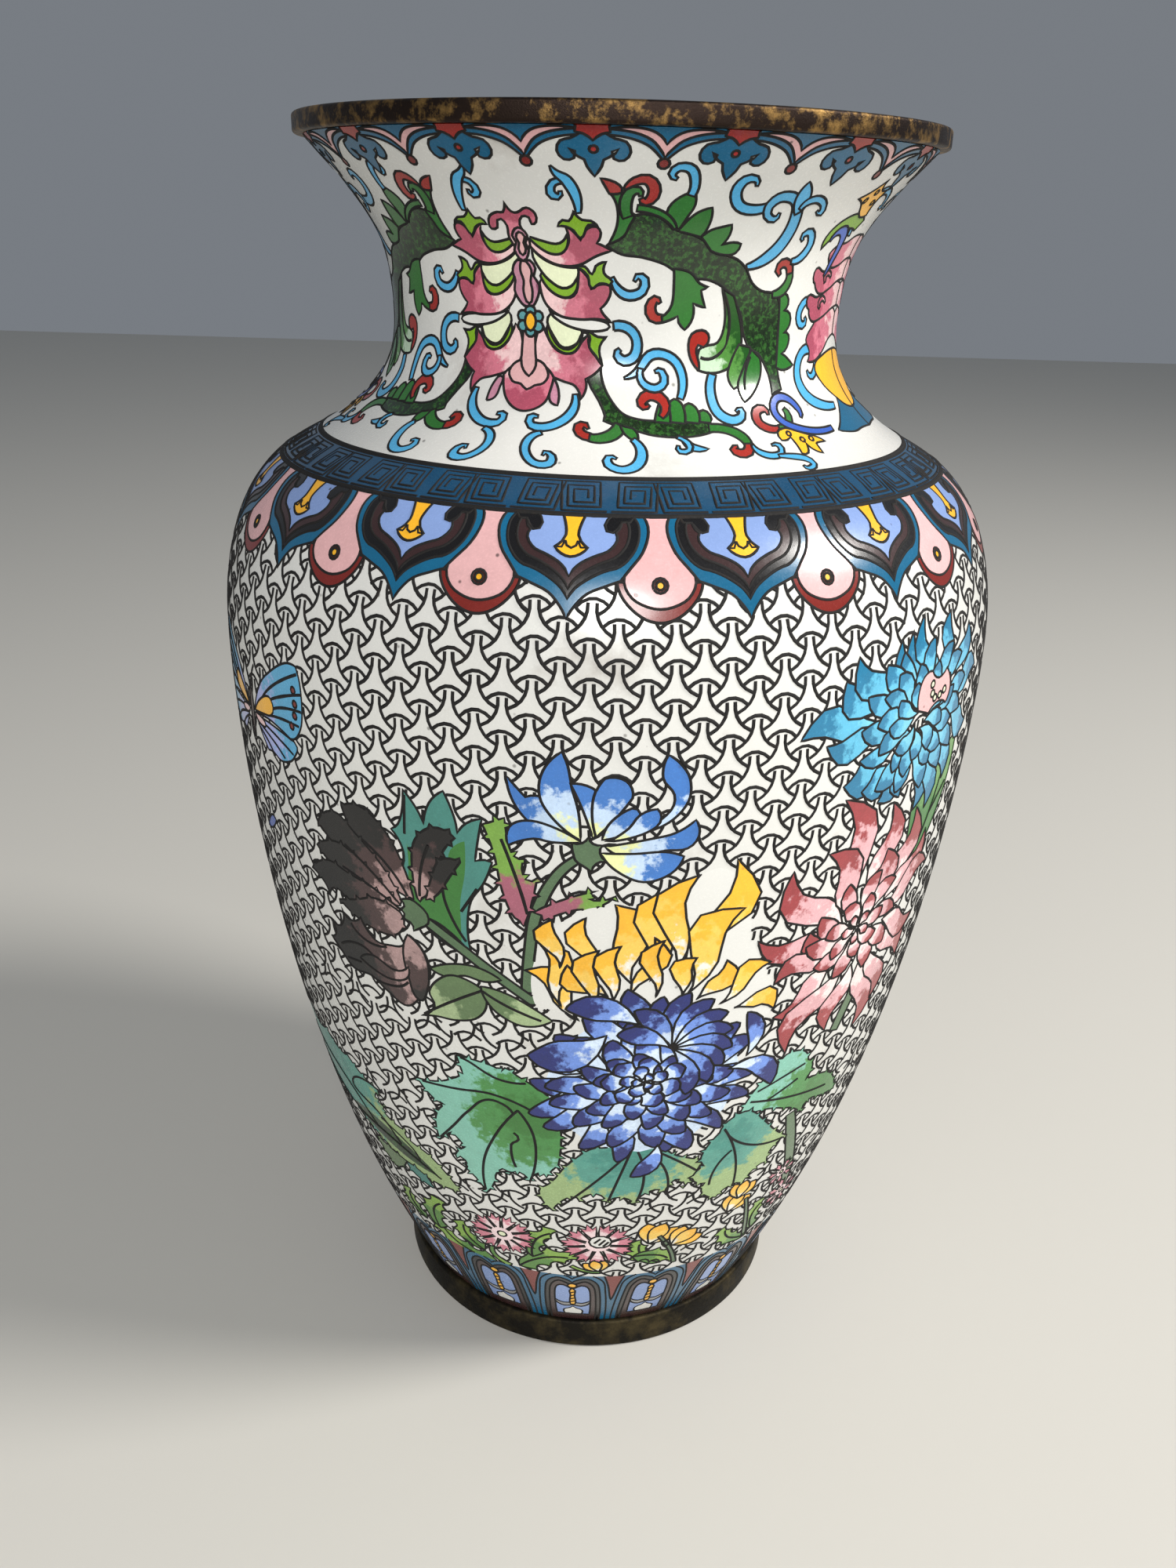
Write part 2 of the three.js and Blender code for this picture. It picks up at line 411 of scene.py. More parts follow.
# The stretches of drawn lines that no later cell covers.
def visibleStretches(drawing, spots, triangles):
    tree = BVHTree.FromPolygons([(p.x, p.y, 0) for p in spots], [t for t, top in triangles])

    def shows(point, order):
        x = (point[0] + sheetHalf) % (2 * sheetHalf) - sheetHalf
        hit = tree.ray_cast(Vector((x, point[1], 1)), Vector((0, 0, -1)))[2]
        return hit is not None and triangles[hit][1] <= order

    stretches = []
    for path, order, width in drawing.lines:
        run = []
        seen = [shows(p, order) for p in path]
        for i, point in enumerate(path):
            if i and seen[i] != seen[i - 1]:  # find the edge between the two points
                inside, outside = (point, path[i - 1]) if seen[i] else (path[i - 1], point)
                for _ in range(4):
                    middle = ((inside[0] + outside[0]) / 2, (inside[1] + outside[1]) / 2)
                    if shows(middle, order):
                        inside = middle
                    else:
                        outside = middle
                run.append(inside)
                if not seen[i]:
                    stretches.append((run, width))
                    run = []
            if seen[i]:
                run.append(point)
        if len(run) > 1:
            stretches.append((run, width))
    return stretches


# How far a wire's centre lies under the enamel, as a share of its radius. The vase was ground nearly flush.
wireSink = 0.62
wireSpread = 1.5  # how much wider than asked for a wire is made, because much of it is sunk


# Wires are drawn as curves on the wall with a round section, then made a mesh.
def wireMesh(name, stretches, sides):
    curve = bpy.data.curves.new(name, "CURVE")
    curve.dimensions = "3D"
    curve.bevel_depth = 0.5 * mm
    curve.bevel_resolution = sides // 2 - 2
    curve.use_fill_caps = True
    for path, width in stretches:
        spline = curve.splines.new("POLY")
        spline.points.add(len(path) - 1)
        full = width * wireSpread
        for point, place in zip(spline.points, bend([(x, s, -full / 2 * wireSink) for x, s in path])):
            point.co = (*place, 1)
            point.radius = full
    holder = bpy.data.objects.new(name, curve)
    bpy.context.scene.collection.objects.link(holder)
    mesh = bpy.data.meshes.new_from_object(holder.evaluated_get(bpy.context.evaluated_depsgraph_get()))
    bpy.data.objects.remove(holder)
    bpy.data.curves.remove(curve)
    mesh.shade_smooth()
    return mesh


pieceTriangles = 180000  # a piece of wires stays under this many


def wirePieces(name, stretches, sides=6):
    budget = pieceTriangles / (2 * sides)
    share, count, number = [], 0, 1
    for stretch in stretches + [None]:
        if share and (stretch is None or count + len(stretch[0]) > budget):
            label = name if number == 1 else f"{name}_{number}"
            addPiece(label, wireMesh(label, share, sides), metals["wire"])
            share, count, number = [], 0, number + 1
        if stretch:
            share.append(stretch)
            count += len(stretch[0])


def buildBand(band, drawing, ground, replaced, wireWidth=0.38, fineWidth=0.45):
    spots, triangles = arrange(drawing)
    byFinish = {}
    for t, top in triangles:
        finish = drawing.cells[top - 1][1] if top else ground
        byFinish.setdefault(finish, []).append((t, top))
    for finish, members in byFinish.items():
        piece = fillPiece(f"{band}_{finish}", spots, members, drawing.cells, finish)
        if finish == ground:
            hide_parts(*replaced)
    outlines = [(path, wireWidth) for path in wirePaths(spots, triangles, drawing.cells)]
    veins = visibleStretches(drawing, spots, triangles)
    wirePieces(f"{band}_wires", outlines)
    fine = [(path, width or fineWidth) for path, width in veins]
    if fine:
        wirePieces(f"{band}_fine_wires", fine)
    print(band, "built:", len(drawing.cells), "cells,", len(triangles), "triangles,",
          len(outlines) + len(fine), "wires")


def tint(r, g, b):
    return tuple(((c + 0.055) / 1.055) ** 2.4 if c > 0.04045 else c / 12.92 for c in (r, g, b)) + (1.0,)


def addNode(tree, kind, inputs=None, **settings):
    node = tree.nodes.new("ShaderNode" + kind)
    for key, value in settings.items():
        setattr(node, key, value)
    for key, value in (inputs or {}).items():
        if isinstance(value, bpy.types.NodeSocket):
            tree.links.new(value, node.inputs[key])
        else:
            node.inputs[key].default_value = value
    return node


def newGroup(name, inputs, outputs):
    group = bpy.data.node_groups.new(name, "ShaderNodeTree")
    for label, kind in inputs:
        group.interface.new_socket(label, in_out="INPUT", socket_type="NodeSocket" + kind)
    for label, kind in outputs:
        group.interface.new_socket(label, in_out="OUTPUT", socket_type="NodeSocket" + kind)
    return group, group.nodes.new("NodeGroupInput").outputs, group.nodes.new("NodeGroupOutput")


glassLook = {"cloudScale": 420, "grainScale": 2600, "toneSpread": 0.12, "pitScale": 330,
             "pitSize": (0.05, 0.11),
             "pitShare": 0.62, "pitColor": (0.2, 0.18, 0.17), "roughSpread": 0.16, "bump": 0.16,
             "bumpHeight": 0.00012}


# Glass fired in a cell: cloudy colour, dark pinholes, a slightly uneven polish.
def makeGlassGroup():
    group, given, result = newGroup(
        "firedGlass",
        [("Color", "Color"), ("Cloud", "Float"), ("Speck", "Float"), ("Tone", "Float"), ("Gloss", "Float")],
        [("Color", "Color"), ("Roughness", "Float"), ("Normal", "Vector")],
    )
    place = addNode(group, "TexCoord").outputs["Object"]
    cloud = addNode(group, "TexNoise", {"Vector": place, "Scale": glassLook["cloudScale"], "Detail": 5,
                                        "Roughness": 0.62})
    grain = addNode(group, "TexNoise", {"Vector": place, "Scale": glassLook["grainScale"], "Detail": 3,
                                        "Roughness": 0.7})
    mixed = addNode(group, "Math", {0: cloud.outputs["Fac"], 1: grain.outputs["Fac"]}, operation="ADD")
    centred = addNode(group, "Math", {0: mixed.outputs[0], 1: -1.0}, operation="ADD")
    wave = addNode(group, "Math", {0: centred.outputs[0], 1: given["Cloud"]}, operation="MULTIPLY")
    own = addNode(group, "Math", {0: given["Tone"], 1: glassLook["toneSpread"],
                                  2: 1 - glassLook["toneSpread"] / 2}, operation="MULTIPLY_ADD")
    value = addNode(group, "Math", {0: wave.outputs[0], 1: own.outputs[0]}, operation="ADD")
    toned = addNode(group, "HueSaturation", {"Value": value.outputs[0], "Color": given["Color"]})
    pits = addNode(group, "TexVoronoi", {"Vector": place, "Scale": glassLook["pitScale"],
                                         "Randomness": 1.0})
    inner, outer = glassLook["pitSize"]
    near = addNode(group, "MapRange", {"Value": pits.outputs["Distance"], 1: inner, 2: outer, 3: 1.0,
                                       4: 0.0})
    some = addNode(group, "Math", {0: pits.outputs["Color"], 1: glassLook["pitShare"]},
                   operation="GREATER_THAN")
    pit = addNode(group, "Math", {0: near.outputs[0], 1: some.outputs[0]}, operation="MULTIPLY")
    dark = addNode(group, "Math", {0: pit.outputs[0], 1: given["Speck"]}, operation="MULTIPLY")
    speckled = addNode(group, "Mix", {0: dark.outputs[0], 6: toned.outputs[0],
                                      7: tint(*glassLook["pitColor"])},
                       data_type="RGBA")
    rough = addNode(group, "Math", {0: grain.outputs["Fac"], 1: glassLook["roughSpread"],
                                    2: given["Gloss"]},
                    operation="MULTIPLY_ADD")
    height = addNode(group, "Math", {0: cloud.outputs["Fac"], 1: pit.outputs[0]}, operation="SUBTRACT")
    bump = addNode(group, "Bump", {"Height": height.outputs[0], "Strength": glassLook["bump"],
                                   "Distance": glassLook["bumpHeight"]})
    group.links.new(speckled.outputs[2], result.inputs["Color"])
    group.links.new(rough.outputs[0], result.inputs["Roughness"])
    group.links.new(bump.outputs[0], result.inputs["Normal"])
    return group


glassGroup = makeGlassGroup()


# plateaus: where on the ramp each colour holds still, for one, two or three colours.
enamelLook = {"driftScale": 520, "plateaus": {1: [0.5], 2: [0.44, 0.58], 3: [0.24, 0.36, 0.56, 0.68]},
              "stainScale": 60, "fleckScale": 1500, "fleckRange": (0.50, 0.58), "coat": 0.25,
              "coatRoughness": 0.12}


def makeEnamel(name, stops, cloud=0.25, speck=0.3, gloss=0.18, streak=1.0, stains=None, fleck=None):
    material = bpy.data.materials.new(name + "_enamel")
    material.use_nodes = True
    tree = material.node_tree
    shader = tree.nodes["Principled BSDF"]
    place = addNode(tree, "TexCoord").outputs["Object"]
    blend = addNode(tree, "Attribute", attribute_name="blend").outputs["Fac"]
    tone = addNode(tree, "Attribute", attribute_name="tone").outputs["Fac"]
    drift = addNode(tree, "TexNoise", {"Vector": place, "Scale": enamelLook["driftScale"], "Detail": 5,
                                       "Roughness": 0.62})
    moved = addNode(tree, "Math", {0: drift.outputs["Fac"], 1: streak, 2: blend}, operation="MULTIPLY_ADD")
    centred = addNode(tree, "Math", {0: moved.outputs[0], 1: streak / 2}, operation="SUBTRACT")
    ramp = addNode(tree, "ValToRGB", {"Fac": centred.outputs[0]})
    plain = enamelLook["plateaus"][len(stops)]
    shades = [stops[0]] + ([stops[1]] * 2 if len(stops) == 3 else []) + [stops[-1]]
    ramp.color_ramp.elements[0].color = stops[0]
    ramp.color_ramp.elements[0].position = 0.0
    ramp.color_ramp.elements[1].color = stops[-1]
    ramp.color_ramp.elements[1].position = 1.0
    for position, shade in zip(plain, shades):
        ramp.color_ramp.elements.new(position).color = shade
    color = ramp.outputs["Color"]
    if stains:
        low, high, shade = stains
        spread = addNode(tree, "TexNoise", {"Vector": place, "Scale": enamelLook["stainScale"], "Detail": 6,
                                            "Roughness": 0.65})
        amount = addNode(tree, "MapRange", {"Value": spread.outputs["Fac"], 1: low, 2: high, 3: 0.0,
                                            4: 1.0})
        color = addNode(tree, "Mix", {0: amount.outputs[0], 6: color, 7: shade},
                        data_type="RGBA").outputs[2]
    if fleck:
        grains = addNode(tree, "TexNoise", {"Vector": place, "Scale": enamelLook["fleckScale"], "Detail": 3,
                                            "Roughness": 0.6})
        low, high = enamelLook["fleckRange"]
        amount = addNode(tree, "MapRange", {"Value": grains.outputs["Fac"], 1: low, 2: high, 3: 0.0,
                                            4: 1.0})
        color = addNode(tree, "Mix", {0: amount.outputs[0], 6: color, 7: fleck},
                        data_type="RGBA").outputs[2]
    glass = addNode(tree, "Group", node_tree=glassGroup)
    tree.links.new(color, glass.inputs["Color"])
    tree.links.new(tone, glass.inputs["Tone"])
    for label, value in (("Cloud", cloud), ("Speck", speck), ("Gloss", gloss)):
        glass.inputs[label].default_value = value
    tree.links.new(glass.outputs["Color"], shader.inputs["Base Color"])
    tree.links.new(glass.outputs["Roughness"], shader.inputs["Roughness"])
    tree.links.new(glass.outputs["Normal"], shader.inputs["Normal"])
    shader.inputs["Coat Weight"].default_value = enamelLook["coat"]
    shader.inputs["Coat Roughness"].default_value = enamelLook["coatRoughness"]
    return material


# Each colour has its stops from a petal's root to its tip, and how cloudy and speckled it is.
enamels = {
    "white": {"stops": [(0.87, 0.87, 0.85)], "cloud": 0.06, "speck": 0.6, "slot": "white_enamel",
              "stains": (0.60, 0.80, (0.72, 0.70, 0.67))},
    "teal": {"stops": [(0.05, 0.36, 0.50)], "slot": "teal_enamel"},
    "fret_blue": {"stops": [(0.07, 0.27, 0.40)], "slot": "blue_enamel"},
    "black": {"stops": [(0.05, 0.045, 0.05)], "cloud": 0.1},
    "brown": {"stops": [(0.21, 0.13, 0.13)]},
    "periwinkle": {"stops": [(0.50, 0.60, 0.80)], "cloud": 0.18, "speck": 0.8},
    "yellow": {"stops": [(0.95, 0.70, 0.15)]},
    "blush": {"stops": [(0.87, 0.68, 0.68)], "cloud": 0.25, "speck": 0.8},
    "crimson": {"stops": [(0.46, 0.13, 0.10)]},
    "red": {"stops": [(0.60, 0.14, 0.10)]},
    "sky": {"stops": [(0.30, 0.65, 0.83)]},
    "leaf": {"stops": [(0.15, 0.42, 0.14)], "cloud": 0.35},
    "moss": {"stops": [(0.06, 0.15, 0.04)], "cloud": 2.2, "speck": 0.6, "fleck": (0.15, 0.32, 0.11)},
    "lime": {"stops": [(0.47, 0.65, 0.10)]},
    "cream": {"stops": [(0.90, 0.93, 0.78), (0.85, 0.88, 0.60)]},
    "rose": {"stops": [(0.93, 0.78, 0.78), (0.80, 0.45, 0.52), (0.66, 0.30, 0.38)], "cloud": 0.5},
    "mauve": {"stops": [(0.75, 0.52, 0.60), (0.50, 0.28, 0.38)], "cloud": 0.5},
    "aqua": {"stops": [(0.35, 0.60, 0.62)]},
    "paleLeaf": {"stops": [(0.74, 0.84, 0.72), (0.30, 0.52, 0.22), (0.10, 0.30, 0.08)], "cloud": 0.3},
    "royal": {"stops": [(0.20, 0.35, 0.70)]},
    "swag": {"stops": [(0.55, 0.55, 0.55)]},
    "chrysBlue": {"stops": [(0.82, 0.89, 0.97), (0.42, 0.56, 0.86), (0.09, 0.14, 0.42)], "cloud": 0.6},
    "gold": {"stops": [(0.92, 0.91, 0.86), (0.95, 0.78, 0.34), (0.95, 0.71, 0.17)], "cloud": 0.3},
    "starBlue": {"stops": [(0.90, 0.92, 0.66), (0.74, 0.83, 0.93), (0.22, 0.45, 0.74)], "cloud": 0.35},
    "cyanPetal": {"stops": [(0.44, 0.76, 0.86), (0.34, 0.69, 0.82), (0.10, 0.45, 0.60)], "cloud": 0.35},
    "pinkPetal": {"stops": [(0.93, 0.86, 0.85), (0.85, 0.65, 0.67), (0.58, 0.20, 0.22)], "cloud": 0.5},
    "darkPetal": {"stops": [(0.66, 0.54, 0.53), (0.25, 0.17, 0.17), (0.035, 0.03, 0.035)], "cloud": 0.7},
    "tealLeaf": {"stops": [(0.25, 0.50, 0.46), (0.50, 0.72, 0.65)], "cloud": 0.35},
    "greenLeaf": {"stops": [(0.20, 0.45, 0.18), (0.38, 0.58, 0.30)], "cloud": 0.4},
    "oliveLeaf": {"stops": [(0.36, 0.46, 0.30), (0.62, 0.70, 0.52)], "cloud": 0.5},
    "oliveSeaLeaf": {"stops": [(0.22, 0.52, 0.47), (0.30, 0.58, 0.52), (0.58, 0.68, 0.46)], "cloud": 0.5},
    "freshLeaf": {"stops": [(0.20, 0.46, 0.18), (0.26, 0.54, 0.26), (0.50, 0.75, 0.67)], "cloud": 0.35},
    "brightLeaf": {"stops": [(0.28, 0.50, 0.14), (0.50, 0.66, 0.24)], "cloud": 0.4},
    "wing": {"stops": [(0.66, 0.70, 0.90), (0.34, 0.66, 0.82)], "cloud": 0.3},
    "stem": {"stops": [(0.32, 0.43, 0.30)], "cloud": 0.4},
    "plumLeaf": {"stops": [(0.45, 0.62, 0.25), (0.62, 0.35, 0.42)], "cloud": 0.4},
    "carnation": {"stops": [(0.94, 0.84, 0.85), (0.80, 0.48, 0.55)], "cloud": 0.4},
    "turquoise": {"stops": [(0.25, 0.56, 0.61)], "cloud": 0.3, "speck": 1.0, "slot": "turquoise_enamel"},
}
for name, enamel in enamels.items():
    stops = [tint(*c) for c in enamel["stops"]]
    extra = {key: enamel[key] for key in ("cloud", "speck") if key in enamel}
    if "stains" in enamel:
        low, high, shade = enamel["stains"]
        extra["stains"] = (low, high, tint(*shade))
    if "fleck" in enamel:
        extra["fleck"] = tint(*enamel["fleck"])
    enamel["material"] = makeEnamel(name, stops, **extra)


# Old metal: dark oxide with lighter patches, from a fine and a coarse noise. On the rim, foot and copper the
# patches are bare metal; on the wires they are painted glints.
def makeMetal(name, dark, bright, low, high, scale, roughness, metallic=0.9):
    material = bpy.data.materials.new(name)
    material.use_nodes = True
    tree = material.node_tree
    shader = tree.nodes["Principled BSDF"]
    place = addNode(tree, "TexCoord").outputs["Object"]
    coarse = addNode(tree, "TexNoise", {"Vector": place, "Scale": scale, "Detail": 8, "Roughness": 0.7})
    fine = addNode(tree, "TexNoise", {"Vector": place, "Scale": scale * 12, "Detail": 4, "Roughness": 0.7})
    worn = addNode(tree, "MapRange", {"Value": coarse.outputs["Fac"], 1: low, 2: high, 3: 0.0, 4: 1.0})
    color = addNode(tree, "Mix", {0: worn.outputs[0], 6: dark, 7: bright}, data_type="RGBA")
    rough = addNode(tree, "Math", {0: fine.outputs["Fac"], 1: 0.3, 2: roughness}, operation="MULTIPLY_ADD")
    bump = addNode(tree, "Bump", {"Height": fine.outputs["Fac"], "Strength": 0.35, "Distance": 0.0002})
    tree.links.new(color.outputs[2], shader.inputs["Base Color"])
    tree.links.new(rough.outputs[0], shader.inputs["Roughness"])
    tree.links.new(bump.outputs[0], shader.inputs["Normal"])
    shader.inputs["Metallic"].default_value = metallic
    return material


# low and high are the noise values between which the dark metal gives way to the bright.
metals = {
    # The wires are dark oxide, and their lighter brown patches are painted glints set into the wire colour.
    "wire": makeMetal("dark_wire", dark=tint(0.05, 0.042, 0.038), bright=tint(0.15, 0.11, 0.08),
                      low=0.55, high=0.8, scale=300, roughness=0.62, metallic=0.1),
    "rim": makeMetal("worn_rim", dark=tint(0.17, 0.13, 0.11), bright=tint(0.66, 0.52, 0.30),
                     low=0.48, high=0.70, scale=420, roughness=0.26),
    "foot": makeMetal("dull_foot", dark=tint(0.13, 0.12, 0.10), bright=tint(0.34, 0.30, 0.20),
                      low=0.46, high=0.74, scale=160, roughness=0.46),
    "copper": makeMetal("copper", dark=tint(0.45, 0.24, 0.16), bright=tint(0.62, 0.36, 0.24),
                        low=0.4, high=0.7, scale=80, roughness=0.4),
}
print("finishes ready:", len(enamels) + len(metals))


# How far each ring wire's middle lies above the wire's lowest point, in mm.
ringMiddles = {"foot_band": 0.25, "body": 0.25, "lappet_band": 0.15, "fret_band": 0.1}


def ringLevel(band):
    return arcAtLevel(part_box(band + "_upper_wire")[0].z / mm + ringMiddles[band])


# The bands' upper ends, as lengths up the wall.
levels = {"foot": 0.0, "footBand": ringLevel("foot_band"), "body": ringLevel("body"),
          "lappet": ringLevel("lappet_band"), "fret": ringLevel("fret_band")}
rng = random.Random(7)
afterAll = 10 ** 6  # an order later than any cell's, so that no cell hides the line


def ringLine(drawing, s, width):
    turns = np.linspace(-sheetHalf, sheetHalf, 181)
    drawing.lines.append(([(x, s) for x in turns], afterAll, width))


footUnit = {"count": 18, "firstAngle": -3.0, "wireWidth": 0.34}


def drawFootBand():
    band = Drawing(levels["foot"], levels["footBand"])
    for i in range(footUnit["count"]):
        band.place(footUnit["firstAngle"] + 360 / footUnit["count"] * i)
        band.twinCell("-5.6,0! -5.9,6 -5.8,13 -5.3,17 -2.8,19.2 -0.8,18.4 0,17.5!", "teal")
        band.twinCell("-4.6,0! -4.9,6 -4.8,13 -4.3,16 -2.7,17.8 -1,17.2 0,16.2!", "black")
        band.twinCell("-3.9,0! -4.1,6 -4.0,13 -3.5,15.3 -2.4,16.6 -1.2,16 0,14.9!", "brown")
        band.twinCell("-2.9,2.6! -3.1,6 -3.1,12.5 -2.6,14.6 -1.6,15 -0.5,14 0,13.4!", "periwinkle")
        band.cell("-3.1,8.8! -1.6,7.6 0,7.9 1.6,7.6 3.1,8.8! 2.9,7.4 1.5,6.2 0,6.6 -1.5,6.2 -2.9,7.4",
                  "swag")
        band.twinCell("-1.5,2.6! -1.6,4.4 -0.6,5.2 0,6", "white")
        band.twinCell("-0.35,7 -0.5,9 -0.35,11 -0.5,13 0,13.8", "yellow")
        for step in range(4):
            band.line(f"-0.5,{8 + step * 1.3} 0.5,{8.6 + step * 1.3}")
        band.dot(0, 14.9, 0.8, "yellow")
        band.place(footUnit["firstAngle"] + 360 / footUnit["count"] * (i + 0.5))
        band.cell("-1.9,19.2! 1.9,19.2! 0.9,15 0.3,10.5 0,9! -0.3,10.5 -0.9,15", "crimson")
    ringLine(band, levels["footBand"], 0.5)
    buildBand("foot_band", band, "teal", ["foot_band_enamel", "foot_band_upper_wire"],
              footUnit["wireWidth"], footUnit["wireWidth"])


lappets = {"count": 16, "firstAngle": -4.7, "pendantDrop": 0.8}


# One cloud-shaped lappet hanging from the fret band, with its tip at 0.
def drawLappet(band):
    band.twinCell("-8.6,13.8! -9.4,11.5 -8.9,8.6 -7.6,6.6 -6.4,4.9! -4.6,4.2 -2.4,3.2 -0.9,1.6 0,0!",
                  "teal")
    band.twinCell("-7.2,13.8! -8.1,12.2 -8.1,9.6 -7.1,7.6 -5.7,6.5! -4.1,6.0 -2.3,5.0 -0.8,3.8 0,2.5!",
                  "black")
    band.twinCell("-6.0,13.8! -6.9,12.2 -6.9,9.9 -6.0,8.3 -4.8,7.5! -3.4,6.9 -1.8,5.9 -0.6,4.8 0,3.7!",
                  "brown")
    band.twinCell("-5.4,13.8! -5.9,12.4 -5.3,11.3! -5.6,10.2 -4.9,9.0 -4.0,8.4! -2.8,7.9 -1.4,7.1 -0.5,6.2 "
                  "0,5.3!", "periwinkle")
    curl = "7.4,13.8! 7.0,12.9 6.0,12.9 5.6,12.0 5.0,11.3 4.2,11.5 3.9,12.4 4.2,13.3 4.6,13.8!"
    for side in (mirroredText(curl), curl):
        band.cell(side, "black")
    band.twinCell("-1.4,13.8! -0.9,12 -0.8,10.8 -1.2,9.9 -2.1,9.1! -1.2,8.2 0,7.8", "yellow")
    band.line("-2.1,9.1 -1.2,9.1 -0.8,10.0", 0.3)
    band.line("-0.8,10.0 0,9.0 0.8,10.0", 0.3)
    band.line("2.1,9.1 1.2,9.1 0.8,10.0", 0.3)


def drawPendant(band):
    band.twinCell("-5.4,5.6! -4.6,3.4 -2.4,1.3 0,0.6", "crimson")
    band.twinCell("-4.6,15.6! -3.4,11.5 -3.2,8.6 -4.4,6.4 -4.3,4.8 -3.0,3.2 0,2.3", "blush")
    band.dot(0, 5.2, 0.95, "crimson")
    band.dot(0, 5.2, 0.55, "yellow", 10)


def drawLappetBand(body):
    step = 360 / lappets["count"]
    base = levels["body"]
    for i in range(lappets["count"]):
        body.place(lappets["firstAngle"] + step * (i + 0.5), base - lappets["pendantDrop"])
        drawPendant(body)
    for i in range(lappets["count"]):
        body.place(lappets["firstAngle"] + step * i, base)
        drawLappet(body)


fret = {"count": 50, "turns": 3, "gap": 0.78, "left": -2.95, "right": 2.75, "slant": 0.08,
        "footMargin": 0.75, "topMargin": 0.95, "width": 0.30, "borderWidth": 0.34}


def drawFretBand():
    band = Drawing(levels["lappet"], levels["fret"])
    low, high = levels["lappet"] + fret["footMargin"], levels["fret"] - fret["topMargin"]
    for i in range(fret["count"]):
        band.place(360 / fret["count"] * (i + 0.5), mirror=i % 2 == 1)
        left, right, bottom, top = fret["left"], fret["right"], low, high
        points = [(left, bottom)]
        for turn in range(fret["turns"]):
            points += [(right, bottom), (right, top), (left + fret["gap"], top)]
            bottom += fret["gap"]
            points += [(left + fret["gap"], bottom)]
            left, right, top = left + fret["gap"], right - fret["gap"], top - fret["gap"]
        slant = [(x + (y - low) * fret["slant"], y) for x, y in points]
        band.line(" ".join(f"{x:.2f},{y:.2f}!" for x, y in slant), fret["width"])
    ringLine(band, low - 0.45, fret["borderWidth"])
    ringLine(band, high + 0.5, fret["borderWidth"])
    ringLine(band, levels["lappet"] + 0.05, 0.6)
    ringLine(band, levels["fret"] - 0.05, 0.7)
    buildBand("fret_band", band, "fret_blue",
              ["fret_band_enamel", "fret_band_upper_wire", "lappet_band_upper_wire"])


lipUnits = {"count": 16, "firstAngle": -4.2, "top": 213.4}


def drawLipBand(neck):
    step = 360 / lipUnits["count"]
    base = wallTop - lipUnits["top"]  # the outlines below are drawn for a wall that ends here
    for i in range(lipUnits["count"]):
        neck.place(lipUnits["firstAngle"] + step * (i + 0.5), base)
        neck.twinCell("-9.4,213.6! -9.0,212.5 -4.8,211.8 -2.4,210.9 -1.0,209.7 0,208.4!", "teal")
        neck.cell("-7.2,212.9! -4.0,212.5 -1.9,211.6 -0.7,210.3 0,209.2! 0.7,210.3 1.9,211.6 4.0,212.5 "
                  "7.2,212.9! 4.0,213.2 1.5,212.6 0,211.0! -1.5,212.6 -4.0,213.2", "blush")
        neck.dot(0, 208.3, 0.72, "crimson", 10)
    for i in range(lipUnits["count"]):
        neck.place(lipUnits["firstAngle"] + step * i, base)
        neck.twinCell("-1.2,212.6! -2.6,211.6 -3.9,211.2 -4.4,209.8 -3.6,208.6 -2.4,208.8 -2.2,209.8 "
                      "-3.0,210.2 -1.9,209.0 -1.2,208.6 -0.9,207.6 0,206.2!", "teal")
        neck.twinCell("-2,213.5! -2.1,212.5 -1.1,212.2 0,211.3!", "red")
        neck.dot(0, 210.1, 0.5, "red", 10)


# The interlocking Y-shaped wires over the white ground, in columns that thin out towards the foot.
diaper = {"column": 3.62, "row": 5.0, "jitter": 0.12, "turn": 3, "zoneEnds": [27, 42, 58, 78],
          "arcs": [[(-2.2, -2.7), (0, -0.4), (2.2, -2.7)],
                   [(0.55, 2.9), (0.35, 0.1), (2.75, -1.1)],
                   [(-0.55, 2.9), (-0.35, 0.1), (-2.75, -1.1)]]}


def drawDiaper(body, low, high):
    edges = [low] + diaper["zoneEnds"] + [high]
    for zoneLow, zoneHigh in zip(edges, edges[1:]):
        radius = wallRadius((zoneLow + zoneHigh) / 2)
        columns = 2 * round(math.pi * radius / diaper["column"])
        size = 2 * math.pi * radius / columns / diaper["column"]
        for column in range(columns):
            for row in range(int(zoneLow / diaper["row"]) - 1, int(zoneHigh / diaper["row"]) + 2):
                s = (row + 0.5 * (column % 2)) * diaper["row"]
                if not zoneLow <= s < zoneHigh:
                    continue
                lean = rng.uniform(-diaper["turn"], diaper["turn"])
                body.place(360 / columns * (column + 0.5), s, turn=lean, size=size)
                for arc in diaper["arcs"]:
                    (ax, ay), (bx, by), (cx, cy) = arc
                    bx += rng.uniform(-1, 1) * diaper["jitter"]
                    by += rng.uniform(-1, 1) * diaper["jitter"]
                    path = []
                    for i in range(6):
                        t = i / 5
                        path.append((ax * (1 - t) ** 2 + 2 * bx * t * (1 - t) + cx * t * t,
                                     ay * (1 - t) ** 2 + 2 * by * t * (1 - t) + cy * t * t))
                    body.addLine(path)


